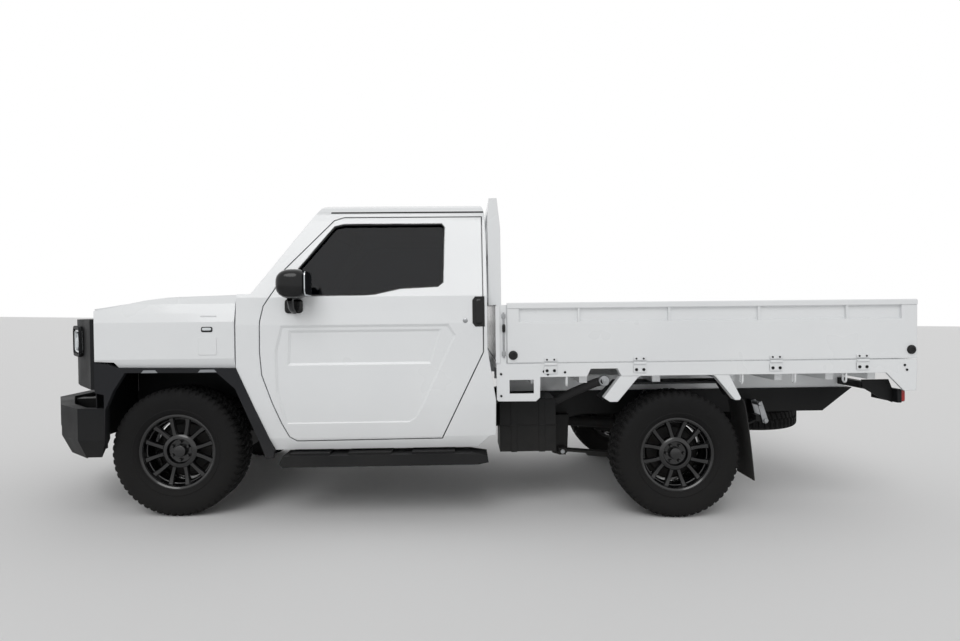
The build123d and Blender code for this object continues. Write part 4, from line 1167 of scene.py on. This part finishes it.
@dataclass
class LoadBed:
    """Hinges, stops, latches, hooks, deck ribs, filler, guards, flaps and tail lamps."""

    hinge_x: tuple = (2041, 2532, 3287, 3772)
    stop_places: tuple = ((1837, 862), (4047, 868))
    hook_x: tuple = (2131, 3105, 3399, 3685)
    half_width: float = 860.0

    def hinges(self) -> None:
        """Build each hinge: bevelled leaf with two bolts, and the barrel on the gate's axis."""
        for name, side in SIDES.items():
            fixed, moving, heads, upper_heads = [], [], [], []
            for x in self.hinge_x:
                leaf = rounded(72, 46, 6, 3) + np.array([x, 782])
                fixed.append(slab(leaf.tolist(), *span(side, 859, 867)))
                fixed.append(rod((x - 34, side * 868, 811), (x + 34, side * 868, 811), 7.5))
                heads += [bolt((x + dx, side * 866, 776), (0, side, 0), 9, 7) for dx in (-20, 20)]
                upper = rounded(66, 20, 4, 3) + np.array([x, 836])
                moving.append(slab(upper.tolist(), *span(side, 860, 866)))
                upper_heads += [bolt((x + dx, side * 865, 836), (0, side, 0), 5.5, 5) for dx in (-20, 20)]
            make_piece(f"hinges_{name}", fixed, WHITE_ENAMEL, "chassis", bevel_mm=1)
            make_piece(f"gate_leaves_{name}", moving, WHITE_ENAMEL, f"gate_{name}", bevel_mm=1)
            make_piece(f"hinge_bolts_{name}", heads, CHASSIS_ENAMEL, "chassis")
            make_piece(f"leaf_bolts_{name}", upper_heads, CHASSIS_ENAMEL, f"gate_{name}")

    def stops(self) -> None:
        """Build the round rubber stops on each gate."""
        for name, side in SIDES.items():
            parts = [
                along(
                    [(25, -1), (25, 5), (21, 11), (12, 13), (10, 9), (1, 9)],
                    (x, side * self.half_width, z), (0, side, 0), 36,
                )
                for x, z in self.stop_places
            ]
            make_piece(f"gate_stops_{name}", parts, SEAL_RUBBER, f"gate_{name}")

    def latches(self) -> None:
        """Build the latch rods with black knobs at the bed's front corners."""
        rods, knobs = [], []
        for side in SIDES.values():
            rods.append(rod((1786, side * 866, 850), (1786, side * 866, 1096), 5))
            rods += [pillow((1786, side * 864, z), (22, 12, 26), 6) for z in (872, 1076)]
            knobs.append(pillow((1786, side * 871, 1010), (18, 20, 46), 4))
        make_piece("latch_rods", rods, ZINC_STEEL, "chassis")
        make_piece("latch_knobs", knobs, GLOSS_PLASTIC, "chassis")

    def hooks(self) -> None:
        """Build rope hooks: round bars bent to a U that hangs across, under the side rails."""
        parts = []
        for side in SIDES.values():
            for x in self.hook_x:
                turn = np.linspace(0, math.pi, 12)
                reach = side * (836 + 16 * np.cos(turn))
                bend = np.stack([np.full(12, float(x)), reach, 706 - 16 * np.sin(turn)], -1)
                ends = np.array([(x, side * 852, 746), (x, side * 820, 746)], float)
                parts.append(sweep(np.concatenate([ends[:1], bend, ends[1:]]), circle(5.5, 10), (1, 0, 0)))
        make_piece("rope_hooks", parts, WHITE_ENAMEL, "chassis")

    def deck(self) -> None:
        """Build the pressed ribs of the deck and the bolts of the headboard's feet."""
        ribs = [
            slab([(1800, 814.5), (4036, 814.5), (4030, 817.8), (1806, 817.8)], y - 11, y + 11)
            for y in np.arange(-760, 761, 80)
        ]
        make_piece("deck_ribs", ribs, WHITE_ENAMEL, "chassis")
        bolts = [
            bolt((x, side * self.half_width, z), (0, side, 0), 7, 5)
            for side in SIDES.values()
            for x, z in (
                (2004, 771), (2026, 756), (4010, 782), (4022, 756), (1770, 760), (1770, 640), (2120, 766),
            )
        ]
        make_piece("rail_bolts", bolts, CHASSIS_ENAMEL, "chassis")

    def filler(self) -> None:
        """Build the fuel filler: neck from the tank and a ribbed cap in the rail's notch."""
        neck = sweep(
            np.array([(2060, -640, 560), (2180, -740, 640), (2300, -800, 700), (2338, -828, 714)], float),
            circle(24, 20), (0, 0, 1),
        )
        cap = along([(31, -14), (31, 2), (27, 8), (9, 9), (8, 16), (1, 17)], (2340, -834, 714), (0, -1, 0))
        make_piece("filler_neck", [neck], SEAL_RUBBER, "chassis")
        make_piece("filler_cap", [cap], ZINC_STEEL, "chassis")

    def guards(self) -> None:
        """Build the white guard legs, the black arch sheets and the rubber flaps."""
        legs, sheets, flaps = [], [], []
        front = [(2333, 622), (2425, 740), (2540, 740), (2523, 732), (2410, 599), (2367, 599)]
        rear = [(2940, 740), (3029, 740), (3094, 612), (3088, 600), (3060, 600), (2953, 730)]
        arch = [
            (2345, 600), (2440, 688), (3030, 688), (3085, 600), (3091, 606), (3036, 699), (2434, 699),
            (2338, 606),
        ]
        for side in SIDES.values():
            legs += [slab(outline, *span(side, 805, 860)) for outline in (front, rear)]
            sheets.append(slab(arch, *span(side, 632, 806)))
            drop = np.linspace(0, 1, 14)
            path = np.stack([3111 + 60 * drop**0.7, np.full(14, side * 738.0), 600 - 450 * drop], -1)
            flaps.append(sweep(path, rounded(224, 7, 3, 2), (1, 0, 0.2)))
        make_piece(
            "guard_legs", legs, WHITE_ENAMEL, "chassis", bevel_mm=3, replaces=("rear_guards",)
        )
        make_piece("guard_sheets", sheets, GRAINED_PLASTIC, "chassis")
        make_piece("mud_flaps", flaps, SEAL_RUBBER, "chassis")

    def tail_lamps(self) -> None:
        """Build each rear lamp: dark case, red, amber and clear segments."""
        cases, red, amber, clear = [], [], [], []
        for side in SIDES.values():
            cases.append(block((3985, 4010), span(side, 602, 837), (569, 645)))
            for middle, width, group in ((786, 96, red), (704, 60, amber), (640, 62, clear)):
                group.append(pillow((4019, side * middle, 607), (28, width, 70), 7))
        make_piece("tail_lamp_cases", cases, GRAINED_PLASTIC, "chassis", bevel_mm=3)
        make_piece("tail_lamps_red", red, RED_LENS, "chassis")
        make_piece("tail_lamps_amber", amber, AMBER_LENS, "chassis")
        make_piece("tail_lamps_clear", clear, LAMP_LENS, "chassis")

    def build(self) -> None:
        """Build everything on the bed."""
        self.hinges()
        self.stops()
        self.latches()
        self.hooks()
        self.deck()
        self.filler()
        self.guards()
        self.tail_lamps()


@dataclass
class Cabin:
    """Seats, dashboard, steering wheel and floor controls."""

    driver_y: float = 370.0
    wheel_middle: Point = (830.0, 370.0, 1020.0)
    wheel_radius: float = 180.0
    tilt_deg: float = 25.0

    def cushion(
        self, centre: Point, size: Point, channel_axis: int, lean_deg: float
    ) -> Surface:
        """A stuffed cushion: a soft block pressed in along three sewn channels, then leaned about y."""
        pad = pillow((0, 0, 0), size, 4.5, 40, 96)
        along_pad = pad.points[:, channel_axis]
        face = 2 if channel_axis == 0 else 0
        sink = sum(
            7.0 * np.exp(-(((along_pad - mark * size[channel_axis]) / 9) ** 2)) for mark in (-0.25, 0, 0.25)
        )
        share = np.abs(pad.points[:, face]) / (size[face] / 2)
        pad.points[:, face] -= np.sign(pad.points[:, face]) * sink * share
        lean = math.radians(lean_deg)
        matrix = np.array(
            [[math.cos(lean), 0, math.sin(lean)], [0, 1, 0], [-math.sin(lean), 0, math.cos(lean)]]
        )
        return pad.turned(matrix, centre)

    def seats(self) -> None:
        """Build cushions and backrests for three, all on one base."""
        base = block((1044, 1476), (-598, 598), (597, 712))
        make_piece("seat_base", [base], CABIN_PLASTIC, "chassis", bevel_mm=12, replaces=("seat",))
        for number, (middle, width) in enumerate(((370, 560), (-375, 560), (0, 170))):
            pieces = {
                "seat_cushion": self.cushion((1250, middle, 793), (500, width, 150), 0, -4),
                "seat_back": self.cushion((1512, middle, 1074), (112, width, 480), 2, 12),
            }
            for name, surface in pieces.items():
                pad = make_piece(f"{name}_{number}", [surface], SEAT_CLOTH, "chassis", sharp_deg=80)

    def dashboard(self) -> None:
        """Build the dashboard: one section carried across, raised into a hood before the driver."""
        section = np.array([
            (470, 905), (560, 868), (628, 866), (680, 902), (694, 960), (694, 1040), (672, 1085), (622, 1112),
            (540, 1130), (440, 1138), (420, 1128), (414, 1010),
        ])
        across = np.linspace(-796, 796, 54)
        hood = np.exp(-(((across - self.driver_y) / 190) ** 4))
        top = np.clip((section[:, 1] - 1040) / 90, 0, 1)
        points = np.zeros((len(across), len(section), 3))
        points[:, :, 0] = section[None, :, 0] - 14 * (1 - hood[:, None]) * (section[None, :, 0] > 660)
        points[:, :, 1] = across[:, None]
        points[:, :, 2] = section[None, :, 1] - 26 * (1 - hood[:, None]) * top[None, :]
        count = len(section)
        faces = grid_faces(len(across), count, False, True)
        total = len(across) * count
        faces += [list(range(count)), list(range(total - count, total))]
        column = rod((640, self.driver_y, 931), (808, self.driver_y, 1009), 24)
        make_piece(
            "dashboard_shell", [Surface(points.reshape(-1, 3), faces), column], CABIN_PLASTIC, "chassis",
            bevel_mm=6, replaces=("dashboard",),
        )
        vents = [
            block((684, 700), (y - 52, y + 52), (z, z + 5))
            for y in (-640, -110, 110, 700)
            for z in range(1000, 1046, 11)
        ]
        screen = [
            pillow((690, 0, 960), (16, 220, 70), 8),
            pillow((688, self.driver_y, 1078), (20, 230, 50), 6),
        ]
        make_piece("dash_vents", vents, GRAINED_PLASTIC, "chassis")
        make_piece("dash_glass", screen, GLOSS_PLASTIC, "chassis")

    def steering_wheel(self) -> None:
        """Build the wheel: a round grip, three swelling spokes and a soft hub."""
        turn = np.linspace(0, 2 * math.pi, 72, endpoint=False)
        grip = self.wheel_radius
        path = np.stack([grip * np.cos(turn), grip * np.sin(turn), np.zeros(72)], -1)
        parts = [sweep(path, circle(13.5, 14), (0, 0, 1), closed=True), pillow((0, 0, 2), (112, 128, 34), 4)]
        for angle in (90, 210, 330):
            spoke = math.radians(angle)
            reach = np.linspace(36, 176, 8)
            line = np.stack(
                [reach * math.cos(spoke), reach * math.sin(spoke), 2 - 6 * np.sin(reach / 56)], -1
            )
            parts.append(sweep(line, rounded(28, 11, 4, 3), (0, 0, 1)))
        lean = math.radians(90 - self.tilt_deg)
        matrix = np.array(
            [[math.cos(lean), 0, math.sin(lean)], [0, 1, 0], [-math.sin(lean), 0, math.cos(lean)]]
        )
        make_piece(
            "steering_grip", [part.turned(matrix, self.wheel_middle) for part in parts], CABIN_PLASTIC,
            "steering_wheel", replaces=("steering_wheel",),
        )

    def controls(self) -> None:
        """Build the pedals, the gear lever in its boot and the rear-view mirror."""
        pedals = [pillow((600, self.driver_y + dy, 700), (16, 52, 70), 6) for dy in (-110, 0, 100)]
        pedals += [
            rod((600, self.driver_y + dy, 720), (560, self.driver_y + dy, 880), 7) for dy in (-110, 0, 100)
        ]
        lever = rod((900, 40, 600), (870, 40, 830), 9)
        boot = lathe([(70, 0), (62, 20), (40, 34), (34, 50), (16, 66)], 32).moved((900, 40, 596))
        knob = pillow((868, 40, 850), (46, 46, 56), 2.4)
        make_piece("pedals", pedals, CHASSIS_ENAMEL, "chassis")
        make_piece("gear_lever", [lever, boot, knob], GRAINED_PLASTIC, "chassis")
        glass = pillow((862, 0, 1590), (26, 230, 62), 5)
        stem = rod((850, 0, 1610), (800, 0, 1650), 6)
        make_piece("cabin_mirror", [glass, stem], GRAINED_PLASTIC, "chassis")

    def build(self) -> None:
        """Build the whole cabin."""
        self.seats()
        self.dashboard()
        self.steering_wheel()
        self.controls()


@dataclass
class Studio:
    """Camera at the photograph's angle, pale floor, soft light."""

    camera_place: Point = (-0.0190, -4.3419, 1.1440)
    yaw_deg: float = 1.4508
    pitch_down: float = math.atan(10.2 / 640)
    roll: float = 0.0105
    lens_mm: float = 24.0
    floor_half: float = 60.0
    sky: float = 0.56
    sun: float = 0.9
    sun_tilt_deg: float = 46.0

    def camera(self) -> None:
        """Place the camera by its yaw, pitch and roll."""
        yaw, pitch, roll = math.radians(self.yaw_deg), self.pitch_down, self.roll
        ahead = Vector((math.sin(yaw), math.cos(yaw), 0))
        right = Vector((math.cos(yaw), -math.sin(yaw), 0))
        up = Vector((0, 0, 1))
        look = ahead * math.cos(pitch) - up * math.sin(pitch)
        rise = up * math.cos(pitch) + ahead * math.sin(pitch)
        across = right * math.cos(roll) + rise * math.sin(roll)
        upright = rise * math.cos(roll) - right * math.sin(roll)
        data = bpy.data.cameras.new("camera")
        data.lens, data.sensor_width = self.lens_mm, 36.0
        data.clip_start, data.clip_end = 0.05, 200
        camera = bpy.data.objects.new("camera", data)
        matrix = Matrix((across, upright, -look)).transposed().to_4x4()
        matrix.translation = Vector(self.camera_place)
        camera.matrix_world = matrix
        bpy.context.scene.collection.objects.link(camera)
        bpy.context.scene.camera = camera

    def floor(self) -> None:
        """A pale matt floor that keeps the truck's shadow."""
        half = self.floor_half
        mesh = bpy.data.meshes.new("floor")
        corners = [(-half, -half, 0), (half, -half, 0), (half, half, 0), (-half, half, 0)]
        mesh.from_pydata(corners, [], [(0, 1, 2, 3)])
        made = bpy.data.materials.new("pale_floor_paint")
        made.use_nodes = True
        shader = made.node_tree.nodes["Principled BSDF"]
        shader.inputs["Base Color"].default_value = linear("E6E6E6")
        shader.inputs["Roughness"].default_value = 0.7
        mesh.materials.append(made)
        floor = bpy.data.objects.new("floor", mesh)
        bpy.context.scene.collection.objects.link(floor)

    def light(self) -> None:
        """An even sky, white to the eye and in reflections, and one soft sun."""
        world = bpy.data.worlds.new("studio")
        bpy.context.scene.world = world
        world.use_nodes = True
        tree = world.node_tree
        tree.nodes.clear()
        path = add_node(tree, "ShaderNodeLightPath").outputs
        seen = add_node(
            tree, "ShaderNodeMath", {0: path["Is Camera Ray"], 1: path["Is Glossy Ray"]}, operation="MAXIMUM"
        ).outputs[0]
        shown = add_node(
            tree, "ShaderNodeMath", {0: seen, 1: path["Is Transmission Ray"]}, operation="MAXIMUM"
        ).outputs[0]
        strength = add_node(
            tree, "ShaderNodeMapRange", {"Value": shown, "To Min": self.sky, "To Max": 1.0}
        ).outputs[0]
        background = add_node(tree, "ShaderNodeBackground", {"Color": (1, 1, 1, 1), "Strength": strength})
        add_node(tree, "ShaderNodeOutputWorld", {"Surface": background.outputs[0]})
        data = bpy.data.lights.new("soft_sun", "SUN")
        data.energy = self.sun
        data.angle = math.radians(35)
        lamp = bpy.data.objects.new("soft_sun", data)
        lamp.rotation_euler = (math.radians(self.sun_tilt_deg), math.radians(-14), 0)
        bpy.context.scene.collection.objects.link(lamp)

    def build(self) -> None:
        """Set up the camera, the floor and the light."""
        bpy.context.scene.view_settings.view_transform = "Standard"
        self.camera()
        self.floor()
        self.light()


def dress_solids() -> None:
    """Give every solid its finish: by its own name first, else by its slot in the record."""
    slots = {entry["node"]: entry["material_slot"] for entry in frame["record"]["subparts"]}
    for name, solid in frame["nodes"].items():
        finish = NODE_FINISH.get(name, SLOT_FINISH[slots[name]])
        solid.data.materials.clear()
        solid.data.materials.append(finish.material())


def main() -> None:
    """Build every sub-assembly in order."""
    logging.basicConfig(level=logging.INFO, format="%(message)s")
    dress_solids()
    wheels = (
        ("front_left", 0.0, -1, 0.0, True),
        ("front_right", 0.0, 1, 0.0, True),
        ("rear_left", 2750.0, -1, 30.0, False),
        ("rear_right", 2750.0, 1, 30.0, False),
    )
    for wheel in wheels:
        Wheel(*wheel).build()
    for name, side in SIDES.items():
        Door(name, side).build()
    for assembly in (CabTrim(), FrontEnd(), EngineBay(), Underbody(), LoadBed(), Cabin()):
        assembly.build()
    Studio().build()


if __name__ == "__main__":
    main()
